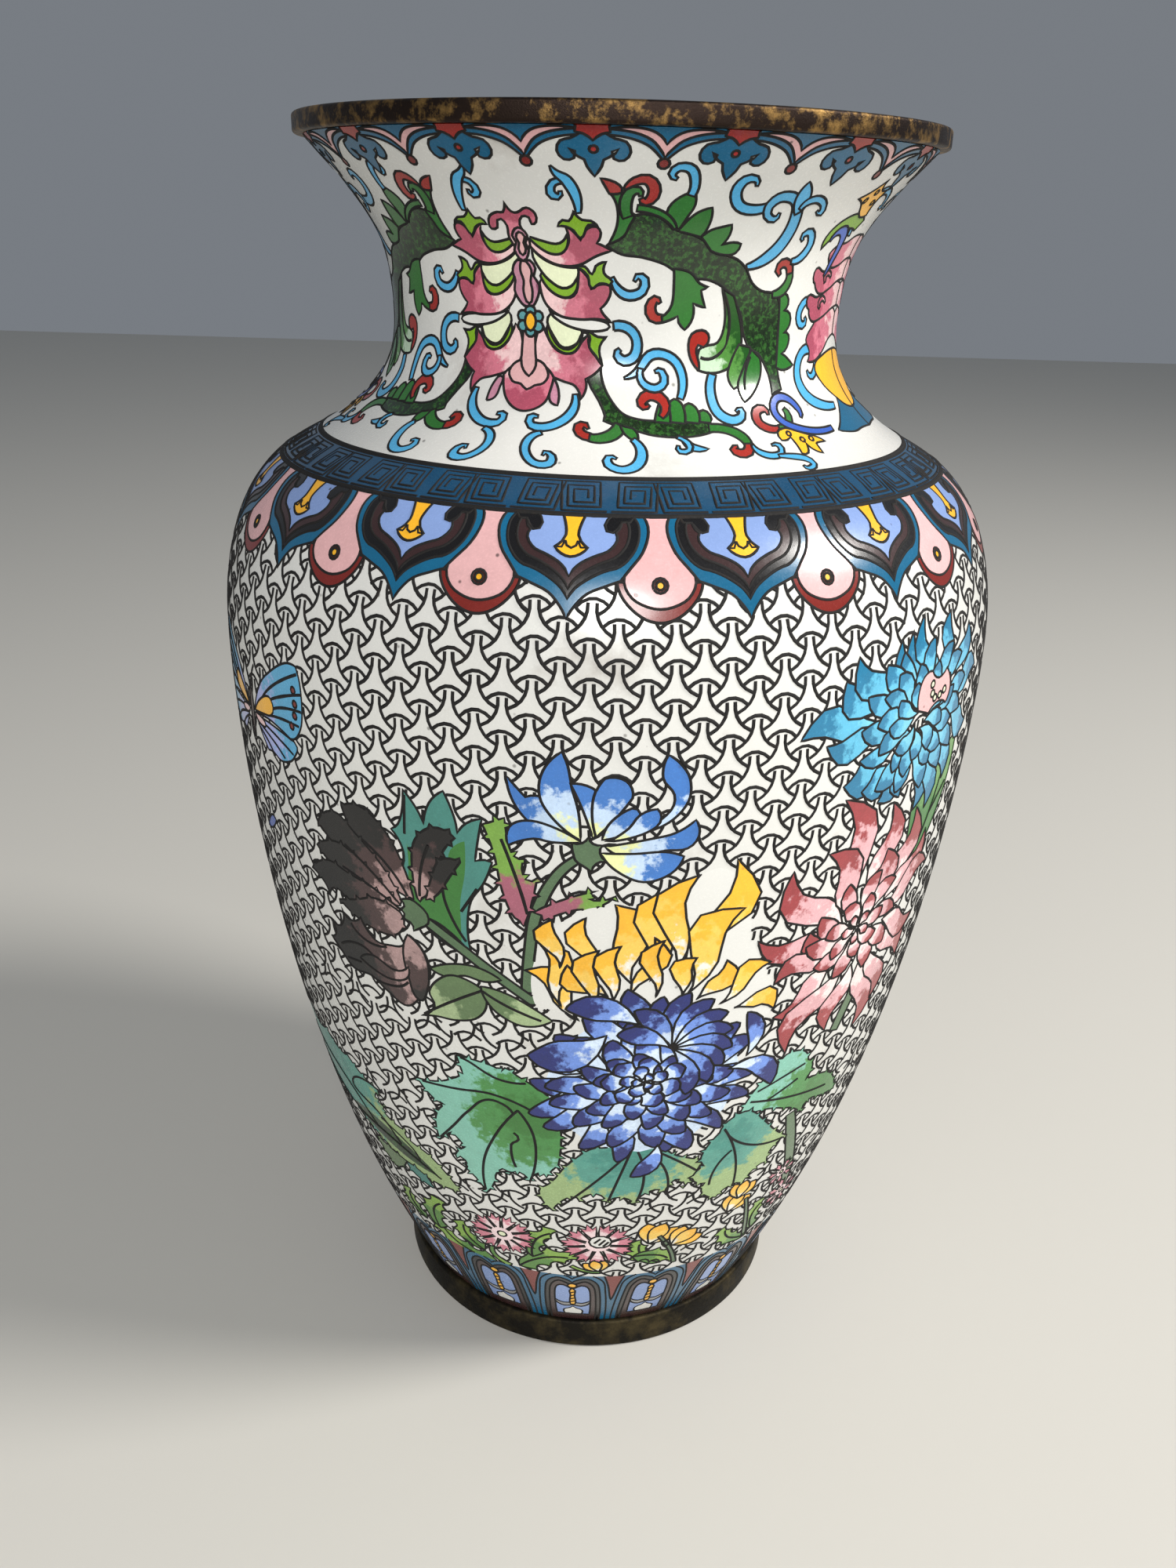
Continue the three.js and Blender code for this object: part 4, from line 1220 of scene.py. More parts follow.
def drawBlueMum(body):
    body.addCell(circlePath(*mumBlue["centre"], mumBlue["ground"]), "chrysBlue", wired=False)
    drawMum(body, mumBlue["centre"], mumBlue["size"], mumBlue["rings"], "chrysBlue", swell=0.6, blunt=0.55)
    loose = [((16, 72), (24.2, 66), 4.2, 0.55), ((18.8, 74), (18.0, 83), 3.0, -0.35),
             ((6, 82), (-0.4, 89.6), 4.2, 0.3),
             ((1.5, 83), (-9, 85.6), 4.6, -0.3), ((-3, 81), (-14.4, 76), 6.4, 0.3),
             ((6, 57), (2.2, 49.4), 3.4, 0.3)]
    drawPetals(body, loose, "chrysBlue", 0.6)
    fan = [(100, 10.2), (78, 10.6), (56, 10.4), (35, 10.0), (14, 9.6), (-8, 9.6), (-30, 9.6), (-52, 10),
           (-74, 10.4), (128, 9.6), (160, 8.6)]
    for way, reach in fan:
        turn = math.radians(way)
        body.petal((6.6, 78), (6.6 + reach * math.cos(turn), 78 + reach * math.sin(turn)), 3.6, "chrysBlue",
                   bow=0.26 if way < 110 else -0.26, swell=0.66)
    drawMum(body, (3.0, 71.4), (6.4, 5.4), [(1.0, 7, 0.6, 3.4, 0.28), (0.6, 5, 0.5, 2.4, -0.28),
                                            (0.3, 3, 0.28, 1.6, 0.2)], "chrysBlue",
            swell=0.66)


def drawYellowMum(body):
    body.cell("-13,85! -14,91 -12,98 -7,103 0,104 6,107 12,109 16.4,103 17,97 20,91 22.6,84! 18,80 8,84 "
              "-4,86", "white", wired=False)
    petals = [((-7, 83.6), (-15, 92), 4.2, -0.25), ((-9.6, 86), (-13.2, 97.2), 3.6, -0.2),
              ((-10, 93), (-11.2, 101.2), 3.4, 0.15),
              ((-4.8, 92), (-6.6, 101.8), 3.4, 0.2), ((0.6, 90), (-2.8, 104), 6.0, -0.1),
              ((-3, 88), (-9, 93.6), 3.8, 0.2),
              ((2.6, 91), (5.6, 106.6), 5.4, 0.12), ((6, 92), (8.6, 108.4), 4.8, 0.2),
              ((7.4, 92), (13.6, 110.4), 5.6, -0.18),
              ((8, 88), (15.6, 102.2), 6.0, 0.2), ((-5.4, 86), (-4.6, 96.4), 3.4, 0.2),
              ((-2.6, 87), (-1.6, 97.2), 3.4, 0.2),
              ((0, 88), (2.8, 98.6), 3.2, -0.2), ((3.6, 88), (4.4, 98), 2.8, 0.2),
              ((7.4, 88), (9.2, 94.6), 3.6, 0.3),
              ((9.6, 87), (13.6, 93.6), 4.2, -0.35), ((13.2, 85.6), (20.8, 91.8), 3.4, 0.2),
              ((15.6, 84.4), (22.4, 82.4), 3.8, 0.5)]
    drawPetals(body, petals, "gold", 0.62, 1.15, 1.2, 0.10)


starFlower = [
    ("-25.2,122.4! -23.8,118 -20.4,114.8 -15.5,113.4! -17,117.6 -20.4,119.8 -22.6,119.6!",
     (-14, 113, -25, 122)),
    ("-18,126.3! -20.6,122.8 -20.2,118.6 -15.2,113.8! -15.6,118 -16.6,121.6 -17.2,124.5",
     (-14, 113, -18, 126)),
    ("-24.8,112.2! -24.7,115 -22.4,116.2 -19,115.6 -15,113.5! -19,113.3 -21.4,113.6", (-14, 113, -25, 114)),
    ("-16.8,122! -15.2,118.6 -13.6,114.2! -12.2,117.6 -12.9,120.6 -14.6,121.8", (-14, 113, -16, 122)),
    ("-12.4,122.9! -13.8,119.6 -13.2,114.4! -10.6,117.4 -8.7,120.2! -9.6,122.6", (-14, 113, -11, 122.4)),
    ("-9.4,118.4! -11.6,116.4 -12.4,114! -9.4,115 -7.6,117.2 -8.0,118.6", (-13, 113, -8.6, 118.5)),
    ("-4.4,126.2! -4.9,123 -3.3,120.6 -3.6,118.4 -6.4,116 -12,113.8! -8,114.8 -3.8,116.6 -1.4,119.6 "
     "-1.4,122.8 -2.8,125", (-12, 113.6, -3, 126)),
    ("-5.4,118.6! -7.6,117.8 -9,115.8 -11.6,113.8! -8,114.6 -5.4,116 -4.8,117.4", (-12, 113.6, -5, 118.6)),
    ("-0.2,116.8! -2.8,115 -6,114.2 -12,113! -9,111.5 -4,112.4 -1,112.6 0.4,114.4", (-12, 113, 0, 115)),
    ("-1.4,111.4! -4,112.2 -8,112 -12.5,112! -10.4,109.4 -6.6,107.6 -3,108.8", (-12, 112, -2, 110)),
]


def drawStarFlower(body):
    body.stroke("-14.8,111.4,1.2 -18.2,108.2,1.5 -20.8,102,1.7 -21.6,95,1.6 -21.8,88,1.6", "stem")
    plum = [("-28.4,114.8! -26.8,110.6 -25.6,105 -23.8,100.8 -22.2,100.4! -21.4,103.6 -20.8,107.6! "
             "-22.4,107.2 -22.6,110.4! -24,110.6 -24.8,112.6 -25.4,116.2!", (-22, 101, -26, 114)),
            ("-20.4,102.6! -16.6,104.8 -12.6,106.2! -13.8,104.8 -10.2,105.4! -12.4,103.6 -16,102.8 "
             "-19.8,100.8!", (-20, 102, -10, 105))]
    for text, guide in plum:
        leafCell(body, text, "plumLeaf", ("along", guide[2:], guide[:2]))
    body.line("-25.8,113 -23.6,107 -22,101.6")
    for text, guide in starFlower:
        body.cell(text, "starBlue", ("along", guide[:2], guide[2:]))
    body.cell("-16.4,113.4! -15,113.4 -14.2,114.4! -13.6,113.4 -12.4,113.2! -12.6,112 -11.8,110.8! "
              "-13,110.4 -13.6,109.2! -14.8,110 -15.8,110.8",
              "stem")


def drawPinkMum(body):
    body.stroke("33,82,2.0 31,77,2.2 29.4,72.4,2.0", "stem")
    petals = [((27, 97), (22.6, 116.4), 5.8, -0.2), ((30, 99), (33, 113.4), 5.0, -0.25),
              ((34, 98), (39.8, 110.6), 5.0, -0.3),
              ((26, 95), (15.2, 106.8), 5.6, 0.25), ((27, 96), (21, 108.2), 5.4, -0.25),
              ((31, 97), (33.6, 105.6), 6.2, -0.3),
              ((35, 96), (44.8, 105.2), 4.4, -0.2), ((36, 94), (48.4, 98), 4.6, 0.2),
              ((25, 92), (10.8, 96), 4.2, 0.12),
              ((25, 91), (19.8, 95.4), 4.6, 0.3), ((25, 90), (14.6, 87.2), 4.2, -0.2),
              ((25, 88), (15.4, 80.6), 5.0, 0.22),
              ((28, 86), (19.2, 72), 5.2, -0.25), ((30, 86), (27, 73.6), 4.6, -0.1),
              ((32, 86), (34.6, 70.4), 5.4, 0.2),
              ((34, 87), (38.4, 74.8), 4.6, 0.2), ((35, 90), (44.6, 80.6), 5.2, 0.2),
              ((36, 92), (47.6, 88.6), 4.8, -0.2)]
    drawPetals(body, petals, "pinkPetal", 0.52, 0.9, 1.2, 0.09)
    drawMum(body, mumPink["centre"], mumPink["size"], mumPink["rings"], "pinkPetal", swell=0.66)


def drawSkyMum(body):
    petals = [((28, 127), (13.8, 126.6), 5.0, -0.1), ((28, 125), (18, 125.2), 4.4, 0.1),
              ((28, 129), (20.4, 133.8), 5.6, 0.15),
              ((31, 130), (22.4, 136.8), 4.6, 0.2), ((29, 122), (21.8, 118.6), 5.6, 0.2),
              ((31, 120), (25.4, 117), 4.6, 0.2),
              ((33, 120), (29, 114.4), 4.0, 0.2), ((35, 120), (34, 114), 3.8, -0.25),
              ((38, 121), (38.4, 110.4), 4.0, 0.15),
              ((40, 121), (42.2, 109.6), 4.2, 0.1), ((42, 122), (47, 113), 4.2, 0.15),
              ((37, 130), (30.6, 137.8), 3.8, 0.3),
              ((39, 131), (33, 138.6), 3.4, 0.35), ((41, 131), (35.6, 140.4), 3.4, 0.35),
              ((43, 131), (43, 139.6), 3.6, 0.1),
              ((45, 130), (50, 136.6), 4.2, -0.2), ((46, 127), (55, 129), 4.6, 0.15),
              ((46, 124), (54, 120.6), 4.6, -0.15)]
    drawPetals(body, petals, "cyanPetal", 0.54, 0.95, 1.3, 0.08)
    drawMum(body, mumSky["centre"], mumSky["size"], mumSky["rings"], "cyanPetal", swell=0.66)
    body.cell("35.6,126.8! 35.8,131 38.4,132! 40.4,130.6 42.6,131.6! 44.4,128.6 43.4,126.2! 40.8,127 "
              "38.4,125.8!", "blush")
    for x, y in ((38.8, 130), (39, 128.6), (39.8, 127.8), (41.2, 127.9), (42.5, 128.4)):
        body.dot(x, y, 0.55, "cream", 8)


butterfly = {"axis": -35.2}


def drawButterfly(body):
    axis = butterfly["axis"]
    for flip in (False, True):
        def turned(text):
            return mirroredText(text, axis) if flip else text

        guide = ("along", (axis, 120), (2 * axis + 20 if flip else -20, 125))
        body.cell(turned("-33.6,119.6! -28,119.9 -22.4,119.3! -20.8,118.6 -21.6,117 -23,115.7 -26,114.8 "
                         "-28,115.4 -30,115.2! -32.4,117.8"),
                  "wing", guide)
        for line in ("-33,119.2 -28,118.8 -22,117", "-33,118.8 -28,117.4 -24.6,115.6",
                     "-33,118.4 -30,116.8 -28.2,115.4"):
            body.line(turned(line))
        body.cell(turned("-34.2,120.4! -30.6,125.6 -26.5,128.6 -22.5,130.7 -19.8,130.9! -18.8,128 -19,123 "
                         "-20.6,120.2 -22.4,119.4! -28,120.5 -33,120.2"), "wing", guide)
        for line in ("-31.4,122.4 -27,126 -19.6,129.8", "-30.8,122 -26,124.6 -18.9,127",
                     "-29,121.4 -25,123.4 -19,124.4", "-29,121 -25,121.8 -19.8,122"):
            body.line(turned(line))
        body.cell(turned("-34,120.3! -31.4,122.8 -28,124.2 -26.8,122.9 -27.7,121.4 -30.4,120.8"), "yellow")
        body.cell(turned("-34,119.9! -31.6,119.9 -30,119.1 -31.4,118.6 -33.2,119"), "rose")
        for x, y in ((-20.7, 127.2), (-20.5, 125.2), (-20.7, 123.4), (-21.7, 121.6)):
            body.dot(2 * axis - x if flip else x, y, 0.55, "crimson", 8)
    body.stroke("-35.2,115.6,0.5 -35.3,118.4,1.3 -35.2,121.2,1.5 -35.2,123.4,0.9", "brown")
    for tip in (-37.4, -33.0):
        body.line(f"-35.2,123.4 {(tip - 35.2) / 2:.1f},126 {tip},127.6")


darkFlower = [
    ("0,100.6! -1.4,106 -4,110.6 -8,113.2 -11.8,112.2! -9.8,108 -6.6,104.4 -3.6,101.6", (-1, 99, -10, 112)),
    ("-2.2,99.6! -5,104.6 -9.6,108.6 -13.6,110.8 -17.6,107.8! -14.6,105.4 -10,101.8 -6,99.8",
     (-2, 99, -15, 109)),
    ("-2.4,98.8! -6,102.2 -10,104.8 -14,105.8 -18.6,103.6! -16,101.8 -11,99.8 -7,98.4", (-2, 99, -16, 104)),
    ("-2.6,98.2! -7,100.2 -12,101.2 -16.4,101.8 -20.8,98.8! -18,97.4 -17,95.4! -15,97.4 -12.4,95.2! -7,97",
     (-2, 98, -17, 99)),
    ("-2.6,97.6! -7,98.6 -11,97 -14.8,95.6! -11,93.6 -7,92.8 -4,93.2 -2.2,95.6", (-2, 97, -13, 94)),
    ("0.6,101! 0.2,106 1.0,110.4 4,113 7.2,112! 5.2,109.4 3.8,105 2.0,101.6", (1, 101, 5, 112.6)),
    ("2.0,101! 3.2,105 4.8,108.2 7.8,108.4! 6,105.6 4,102.4", (2, 101, 6.4, 107)),
]


def drawDarkFlower(body, place):
    place(-25)
    body.cell("-2.8,111.2! -1.2,113 -0.4,117.8! 1.6,115.4 2.6,113.2! 3.6,116.6 5.8,118.8! 7.2,115.4 "
              "7.6,112.8! 9.0,114.6 11.2,115.6! 10.4,111.6 10.0,109! 11.4,109.4 12.4,109.2! 11,105.6 "
              "9,102.4 8.2,98 8.4,93.8! 6,93.6 2,96 0,99.6 -1.6,104 -1,108", "tealLeaf")
    body.cell("-1.8,101! -0.6,104 -0.4,109.6! 1.2,106 3,104 5.6,107 6.4,110 8.6,111.8! 8.4,107 7.4,102 "
              "7.2,97.6 7,93.8! 3,96 0,100", "greenLeaf",
              wired=False)
    body.veins("1.4,98 4.6,97 8.2,93.6", "5,105 5.2,101 7.8,95.4", "10,104.6 7.4,100.4",
               "-0.2,117 -0.6,111")
    body.stroke("0.6,98,1.5 6,94.6,1.6 11,91,1.6 17.4,86.2,1.6", "stem")
    for text, guide in darkFlower:
        leafCell(body, text, "darkPetal", ("along", guide[:2], guide[2:]), 2.4, 0.6)
    body.veins("-1,100.8 -4,105 -8.4,108", "-3,99.4 -7,103 -12,106", "-3,98.4 -8,100.6 -13,102",
               "1,101.4 1.6,106 3,110")
    body.cell("0.8,99.8 -0.6,100.4 -2.4,99.8! -1.8,98.9 -3.0,98.2! -1.9,97.6 -2.6,96.4! -1,96.4 -0.6,95! "
              "0.8,96 2.0,97 2.0,98.6", "stem")
    body.cell("-14.6,94.2! -13,92.6 -10.6,94! -8,90.8 -5,91 -3,91.6 -1.4,94! 0.8,91.6 1.4,88 -0.4,84 "
              "-3.6,80.2 -7.4,81.8 -10,83.4 -14,83.2 -16.4,85.4 -18.4,87.4! -17,88.6 -18,91! -15.4,90.6",
              "darkPetal",
              ("along", (-3, 92), (-15, 86)))
    body.cell("-1.8,94! -3,90.6 -2.6,86 -1.2,82.2 0.6,85 1.2,89 0.4,92", "darkPetal",
              ("along", (-1.4, 93), (3, 80)))
    body.cell("-2.4,88! -5,86.4 -9,87.6 -12,86! -9,84.8 -6,84.4 -3,85.6", "darkPetal",
              ("along", (-3, 87), (-11, 86)))
    body.veins("-16,87 -12,88.6 -9,87.6", "-13,92 -10,90 -6,90.4", "-9,83 -5,83.4 -2.8,85",
               "-15,84.8 -12,85.2")
    body.cell("1.4,89! 5,90.8 9,91.2 12.6,89.6! 10,88.8 7,89.2 4.4,88.2", "oliveLeaf")
    body.cell("-1.2,79.2! 1.4,82 0.8,84.6 3.4,88 6,88.8 9.8,87.2! 9.9,84 8,81.4 4.6,80.2 1.6,80",
              "oliveLeaf", ("along", (8, 87), (0, 80)))
    body.line("-0.6,79.8 4,83.4 9.4,87")
    body.cell("9.4,87.8! 12,87.6 15,86.4 19.6,83.2! 15.6,81.6 12,83 10,85.4", "oliveLeaf",
              ("along", (10, 86), (18, 83)))
    body.line("9.6,87 13,85 18,83")


def drawLeaves(body, place):
    place(5)
    body.stroke("30.2,56,2.0 32,48,2.4 33.6,40,2.4 34.4,30,2.2", "stem")
    leafCell(body, "-25.6,73! -20,72.6 -18.4,71.6! -17.8,72.6 -16,71.4 -13.8,70! -10,66 -9,60 -9.2,52! "
                   "-10.4,50 -11,48.4! -12.4,49.4 -13.6,46.2! -15.4,48.8 -17,47.6! -18.2,48.8 -19.4,45.6! "
                   "-20,43.2 -21,41! -22.6,44 -24.6,46.2! -24.8,48.4 -26.6,49! -26,50.4 -24.6,52! "
                   "-25.8,53.4 -27,54.8! -29.4,51.6! -30,56 -29.4,59 -28,61! -30,61.6 -33,65! -29,66 "
                   "-26,68 -24.6,69.4!", "freshLeaf",
              ("round", (-14, 62), (-29, 60)))
    body.veins("-15.8,63.8 -19,58 -21.4,50 -21.2,42", "-15.8,63.8 -13.4,59 -12.8,53 -13.6,47",
               "-16.6,63 -20.4,65 -24,61 -26.6,56.6 -29.2,52.4",
                 "-14,64.4 -20,66.4 -26,65.6 -32,64.8", "-14.6,70 -19,70 -23.6,72.4 -25,72.8",
                 "-16.4,58.4 -15.6,57 -16.8,55.4 -16,50")
    leafCell(body, "-9,50! -7.6,52.6 -4.4,56.4 -1.4,57 2,58.6 7,56 9,54 13.8,51.6! 13.4,49.4 11.2,44.6! "
                   "9.6,47.4 8.4,42.2! 6.4,45.4 3.4,41.4! 0.8,44 -1.4,42! -3,45 -5.6,42.8! -7,44 "
                   "-9.8,39.6! -12.2,44.6 -10.4,47.2", "oliveSeaLeaf",
              ("round", (1, 54), (13, 46)))
    body.veins("2,56 -2,50 -8.6,41", "2,56 0.6,50 -1,43", "3,55.6 4.4,49 3.6,42.6", "5,55 8,49.6 8.4,43.6",
               "6,55.4 10,52 13,49")
    leafCell(body, "19,60! 24,60 28,58.4! 30.6,57 33.8,53.4! 33.6,57 38,56 41.6,55.2! 40,59.6 37,62.4 "
                   "32,63.2! 33,66.4 31.6,68.2! 30,71 26.4,71.6! 24,69 21,65", "freshLeaf",
                   ("round", (36, 58), (20, 66)))
    body.veins("21,63 28,61 38,58.6", "22,65 27,66.6 31,67.6", "24,62 30,64.6")
    leafCell(body, "16.2,57.4! 13.6,52.4 14.4,49.6! 12.6,46.8 15,44.8! 14.8,42 17.6,39.6! 20.4,42 "
                   "22.6,40.8! 25,44.6 27.4,44.4! 27.4,48 30.6,50! 27.6,53 24.6,57 21,61 17.6,60",
                   "oliveSeaLeaf", ("round", (19, 55), (27, 46)))
    body.veins("17,58 20,50 20.6,41.4", "18,56 23,51.6 29.6,50", "19,52 16.6,48.6 15.8,44")
    place(-25)
    leafCell(body, "-45,57! -40,61.4 -36,62.6! -33,60.4 -29,62! -25,59.6 -22,60! -18,57.4 -13.2,56.4! "
                   "-16,53.8 -13.4,53! -14.4,51 -9.6,49.4! -9.8,47.6 -5,45.4 -0.4,38.6! -6,38.2 -12,39.6 "
                   "-18,42 -26,46 -36,48", "oliveSeaLeaf",
              ("along", (-34, 54), (-8, 44)))
    body.cell("-26,45.8! -21,47.6 -15,47 -9,44.4 -4.4,40.4! -10,41 -16,42.6 -21,44.2", "moss", wired=False)
    body.veins("-4,40 -14,44.4 -26,46 -38,52", "-18,45 -24,51 -31,54 -40,55.6",
               "-12,44.4 -16,49.6 -23,53 -14,56", "-8,42.6 -9.6,45.6 -16,48.6")
    leafCell(body, "-20,41.4! -18.6,38 -16.2,35.2! -13.6,37 -12,39.8!", "oliveLeaf")
    leafCell(body, "-12,39.8! -11,37.6 -7,35.8! -7.4,38.4", "tealLeaf")


def drawBottomFlowers(body):
    leaves = [((-15.6, 18.8), (-28.6, 23.6), 6.2), ((-18, 21.5), (-22.6, 29), 5.2),
              ((-31, 22), (-35, 30), 5), ((-27.6, 22), (-26.4, 33), 6.4), ((-11.4, 19.6), (-1.4, 26), 6.6),
              ((-9, 24), (-5.4, 34), 4.6), ((13, 22), (8.4, 30.6), 5.0), ((8, 25.4), (15.4, 22.6), 5.4),
              ((31, 20), (24.4, 27.6), 5.2), ((32, 22), (33, 32), 5.4)]
    for root, tip, width in leaves:
        drawLobedLeaf(body, root, tip, width, "brightLeaf")
    body.stroke("-16.4,24,0.9 -16,21,1.1 -13,19,1.2", "brightLeaf")
    drawCarnation(body, -14.4, 29.4, 6.0)
    drawCarnation(body, 2.0, 29.8, 6.4)
    body.dot(2.4, 30.8, 1.9, "white", 10)
    body.veins("1.4,30.4 2.4,31.8", "2.2,29.8 3.2,31.4", "2.9,29.4 3.8,30.8")
    drawCarnation(body, 38.5, 30, 4.6, 8)
    drawCarnation(body, 36.5, 38, 3.6, 7)
    blooms = [(2.4, 20.6, 105, 4.0), (10.6, 29.2, 65, 6.4), (14.6, 27.4, 40, 6.0), (24.8, 33.2, 60, 5.6),
              (26.6, 36.6, 75, 5.0)]
    for x, y, way, length in blooms:
        for side in (-28, 28, 0):
            turn = math.radians(way + side)
            body.petal((x, y), (x + length * math.cos(turn), y + length * math.sin(turn)), length * 0.55,
                       "gold", swell=0.6)
    body.stroke("2.6,20.4,0.8 0.4,20.6,0.8 -2.4,22.4,0.9", "brightLeaf")
    body.stroke("12.4,31.2,0.7 14.6,26,0.8 15.6,21,0.9", "stem")
    body.stroke("28.6,35.4,0.7 29.6,29,0.9 30.4,21,1.0", "stem")


def drawSideLeaf(body):
    body.cell("38,112! 42.6,116 45,120.4! 47.6,119 50,121.4! 50,113 47,106 42.6,100.6 39.4,99! 38.6,104",
              "greenLeaf", ("along", (46, 104), (46, 118)))
    body.veins("40,100 44.6,108 47.6,118", "42,104 40,110", "44.6,108 49,112")


def drawBouquet(body, place):
    place(12)
    drawSideLeaf(body)
    drawStarFlower(body)
    drawDarkFlower(body, place)
    drawLeaves(body, place)
    place(0)
    drawBottomFlowers(body)
    place(12)
    drawPinkMum(body)
    drawSkyMum(body)
    place(5)
    drawYellowMum(body)
    drawBlueMum(body)
    place(-25)
    drawButterfly(body)
    body.cell("-35.4,100.2! -33.4,100.6 -31.2,102.8! -32.6,103.2 -34.6,101.6", "royal")


def drawBody():
    body = Drawing(levels["footBand"], levels["lappet"])
    drawDiaper(body, levels["footBand"] - 4, levels["body"] + 8)
    drawBouquet(body, body.place)
    # The back repeats the front, mirrored.
    drawBouquet(body, lambda angle: body.place(180 - angle, mirror=True))
    drawLappetBand(body)
    ringLine(body, levels["lappet"], 0.5)
    buildBand("body", body, "white", ["body_enamel", "body_upper_wire", "lappet_band_enamel"])


def spinPiece(name, section, material, replaced, steps=192, sharpAngle=35):
    bm = bmesh.new()
    corners = [bm.verts.new((r * mm, 0, z * mm)) for r, z in section]
    closed = min(r for r, z in section) > 0.01
    edges = [bm.edges.new((corners[i], corners[i + 1])) for i in range(len(corners) - 1)]
    if closed:
        edges.append(bm.edges.new((corners[-1], corners[0])))
    bmesh.ops.spin(bm, geom=corners + edges, cent=(0, 0, 0), axis=(0, 0, 1), angle=2 * math.pi,
                   steps=steps, use_merge=True, use_duplicate=False)
    bmesh.ops.remove_doubles(bm, verts=bm.verts, dist=1e-7)
    bmesh.ops.recalc_face_normals(bm, faces=bm.faces)
    mesh = bpy.data.meshes.new(name)
    bm.to_mesh(mesh)
    bm.free()
    mesh.shade_smooth()
    mesh.set_sharp_from_angle(angle=math.radians(sharpAngle))
    piece = addPiece(name, mesh, material)
    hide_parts(*replaced)


def radiiOf(node):
    spots = [(math.hypot(v.co.x, v.co.y) / mm, v.co.z / mm) for v in nodes[node].data.vertices]
    return min(r for r, z in spots), max(r for r, z in spots)


def roundedSection(inner, outer, low, high, radius, steps=4):
    section = []
    for cx, cz, start in ((outer - radius, low + radius, -90), (outer - radius, high - radius, 0),
                          (inner + radius, high - radius, 90), (inner + radius, low + radius, 180)):
        for i in range(steps + 1):
            turn = math.radians(start + 90 * i / steps)
            section.append((cx + radius * math.cos(turn), cz + radius * math.sin(turn)))
    return section


ringRounding = {"rim_ring": 0.45, "foot_ring": 0.6}


def addRings():
    for name, material in (("rim_ring", "rim"), ("foot_ring", "foot")):
        low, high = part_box(name)
        inner, outer = radiiOf(name)
        section = roundedSection(inner, outer, low.z / mm, high.z / mm, ringRounding[name])
        spinPiece("worn_" + name, section, metals[material], [name])


underside = {"hollow": 0.35, "edgeWidth": 1.2}


# The turquoise lining follows the CAD lining's own corners, smoothed.
def addLinings():
    inner, outer = {}, {}
    for vertex in nodes["interior_enamel"].data.vertices:
        radius, level = math.hypot(vertex.co.x, vertex.co.y) / mm, round(vertex.co.z / mm, 2)
        inner[level] = min(inner.get(level, 999), radius)
        outer[level] = max(outer.get(level, 0), radius)
    walls = [level for level in sorted(inner) if inner[level] > 1 and outer[level] - inner[level] < 3]
    floor = sorted(inner)[1]
    levelsFine = np.linspace(walls[0], walls[-1], 90)
    innerFine = naturalSpline(np.array(walls), np.array([inner[level] for level in walls]), levelsFine)
    outerFine = naturalSpline(np.array(walls), np.array([outer[level] for level in walls]), levelsFine)
    section = [(0, floor)]
    section += [(r, z) for r, z in zip(innerFine, levelsFine)]
    section += [(r, z) for r, z in zip(outerFine[::-1], levelsFine[::-1])]
    section += [(0, sorted(inner)[0])]
    spinPiece("lining_enamel", section, enamels["turquoise"]["material"],
              ["interior_enamel"])
    low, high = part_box("base_enamel")
    edge = radiiOf("base_enamel")[1]
    middle = high.z / mm - underside["hollow"]
    section = [(0, middle), (edge * 0.5, middle - 0.05), (edge - underside["edgeWidth"], low.z / mm + 0.1),
               (edge, low.z / mm),
               (edge, high.z / mm), (0, high.z / mm)]
    spinPiece("underside_enamel", section, enamels["turquoise"]["material"],
              ["base_enamel"])
    for name in ("copper_lower_body", "copper_shoulder", "copper_neck", "base_disc"):
        nodes[name].data.materials.clear()
        nodes[name].data.materials.append(metals["copper"])


view = {"place": (0.0, -213.1, 190.4), "turn": -0.60, "down": 23.57, "roll": 1.58, "lens": 29.7}
studio = {"floor": (0.80, 0.79, 0.76), "sky": (0.80, 0.83, 0.87), "skyStrength": 0.31}
lamps = {"key": {"place": (0.80, -0.15, 0.80), "target": (0, 0, 0.12), "size": 0.30, "power": 11.2,
                 "color": (1.0, 0.97, 0.93)},
         "fill": {"place": (0.05, -1.0, 0.62), "target": (0, 0, 0.10), "size": 0.4, "power": 9.2,
                  "color": (1.0, 0.98, 0.96)}}


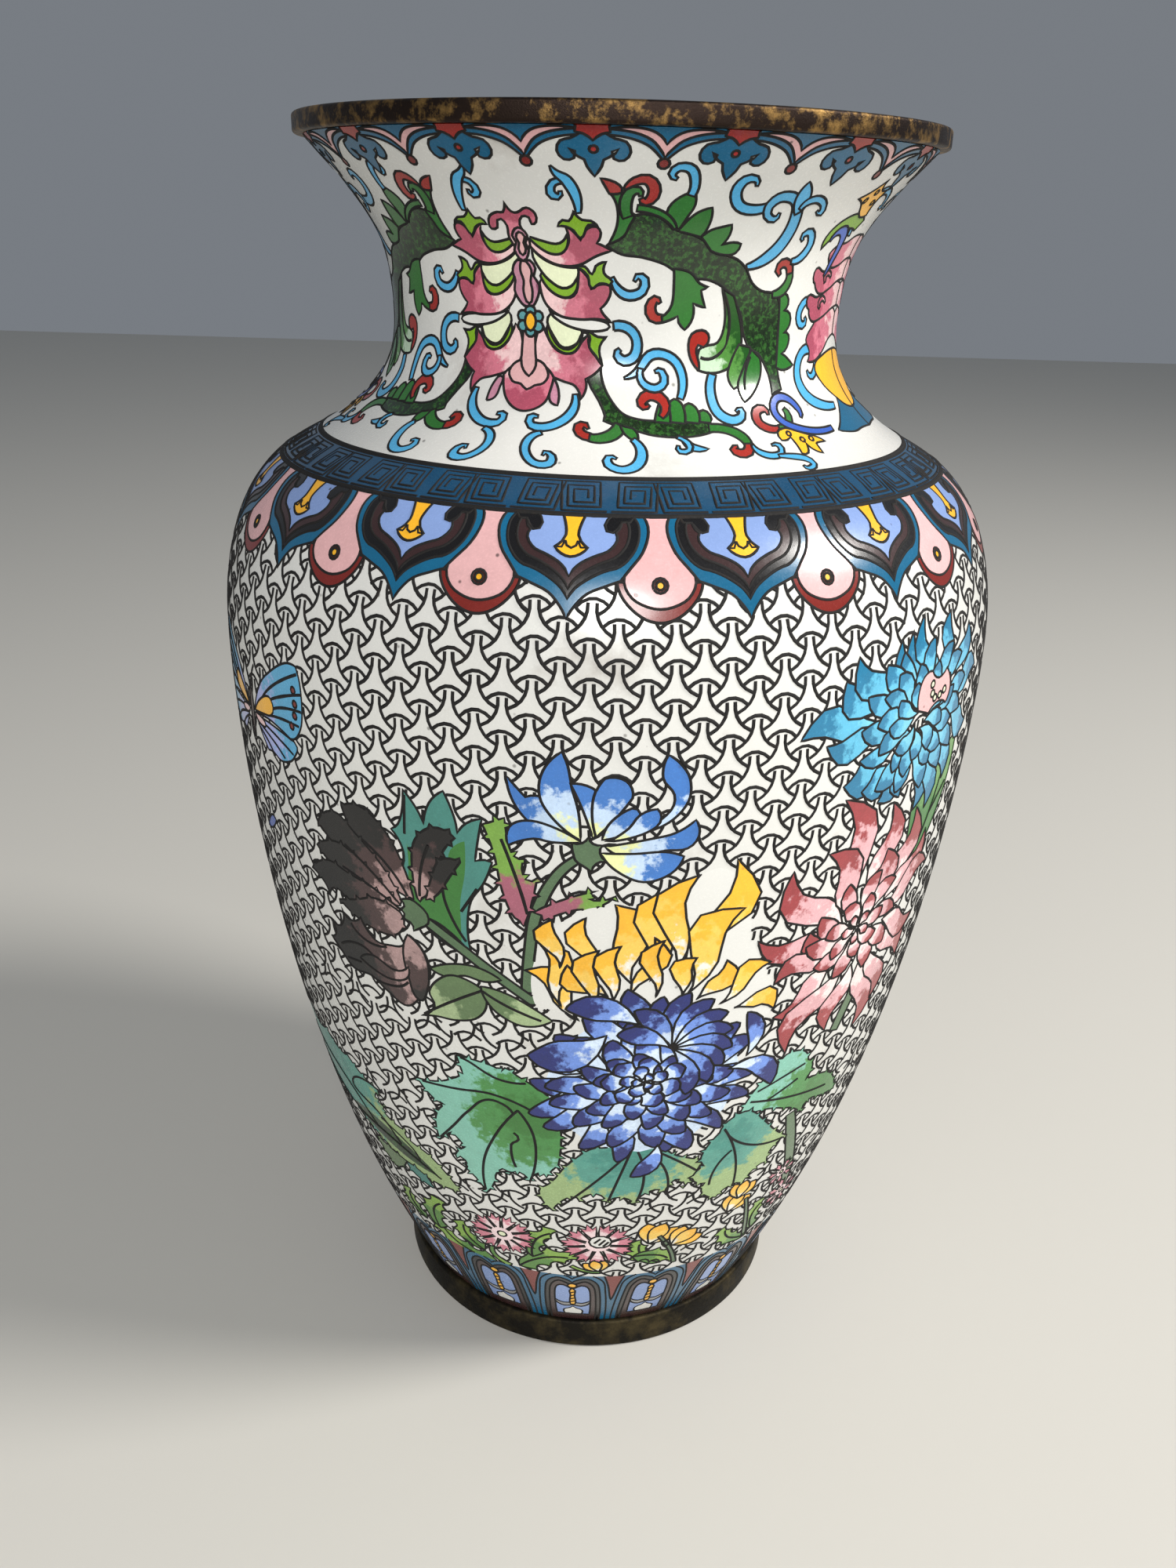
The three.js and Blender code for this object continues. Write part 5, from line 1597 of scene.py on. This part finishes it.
def addCamera():
    data = bpy.data.cameras.new("camera")
    data.sensor_fit = "AUTO"
    data.sensor_width = 36
    data.lens = view["lens"]
    data.clip_start = 0.01
    camera = bpy.data.objects.new("camera", data)
    camera.location = Vector(view["place"]) * mm
    turn, down = math.radians(view["turn"]), math.radians(view["down"])
    ahead = Vector((math.sin(turn) * math.cos(down), math.cos(turn) * math.cos(down), -math.sin(down)))
    camera.rotation_mode = "QUATERNION"
    level = ahead.to_track_quat("-Z", "Y")
    camera.rotation_quaternion = Quaternion(ahead, -math.radians(view["roll"])) @ level
    bpy.context.scene.collection.objects.link(camera)
    bpy.context.scene.camera = camera


def addLamp(name, place, target, size, power, color):
    data = bpy.data.lights.new(name, "AREA")
    data.shape = "DISK"
    data.size = size
    data.energy = power
    data.color = color
    lamp = bpy.data.objects.new(name, data)
    lamp.location = place
    lamp.rotation_mode = "QUATERNION"
    lamp.rotation_quaternion = (Vector(target) - Vector(place)).to_track_quat("-Z", "Y")
    bpy.context.scene.collection.objects.link(lamp)


def addStage():
    bm = bmesh.new()
    bmesh.ops.create_grid(bm, x_segments=1, y_segments=1, size=2.0)
    mesh = bpy.data.meshes.new("floor")
    bm.to_mesh(mesh)
    bm.free()
    material = bpy.data.materials.new("floor")
    material.use_nodes = True
    shader = material.node_tree.nodes["Principled BSDF"]
    shader.inputs["Base Color"].default_value = tint(*studio["floor"])
    shader.inputs["Roughness"].default_value = 0.6
    mesh.materials.append(material)
    floor = bpy.data.objects.new("floor", mesh)
    bpy.context.scene.collection.objects.link(floor)
    world = bpy.data.worlds.new("studio")
    world.use_nodes = True
    sky = world.node_tree.nodes["Background"]
    sky.inputs["Color"].default_value = tint(*studio["sky"])
    sky.inputs["Strength"].default_value = studio["skyStrength"]
    bpy.context.scene.world = world
    for name, lamp in lamps.items():
        addLamp(name, **lamp)
    bpy.context.scene.view_settings.view_transform = "Standard"


addRings()
addLinings()
print("rings and linings spun")
drawFootBand()
drawFretBand()
drawBody()
drawNeck()
addCamera()
addStage()
print("camera, lamps and floor placed")
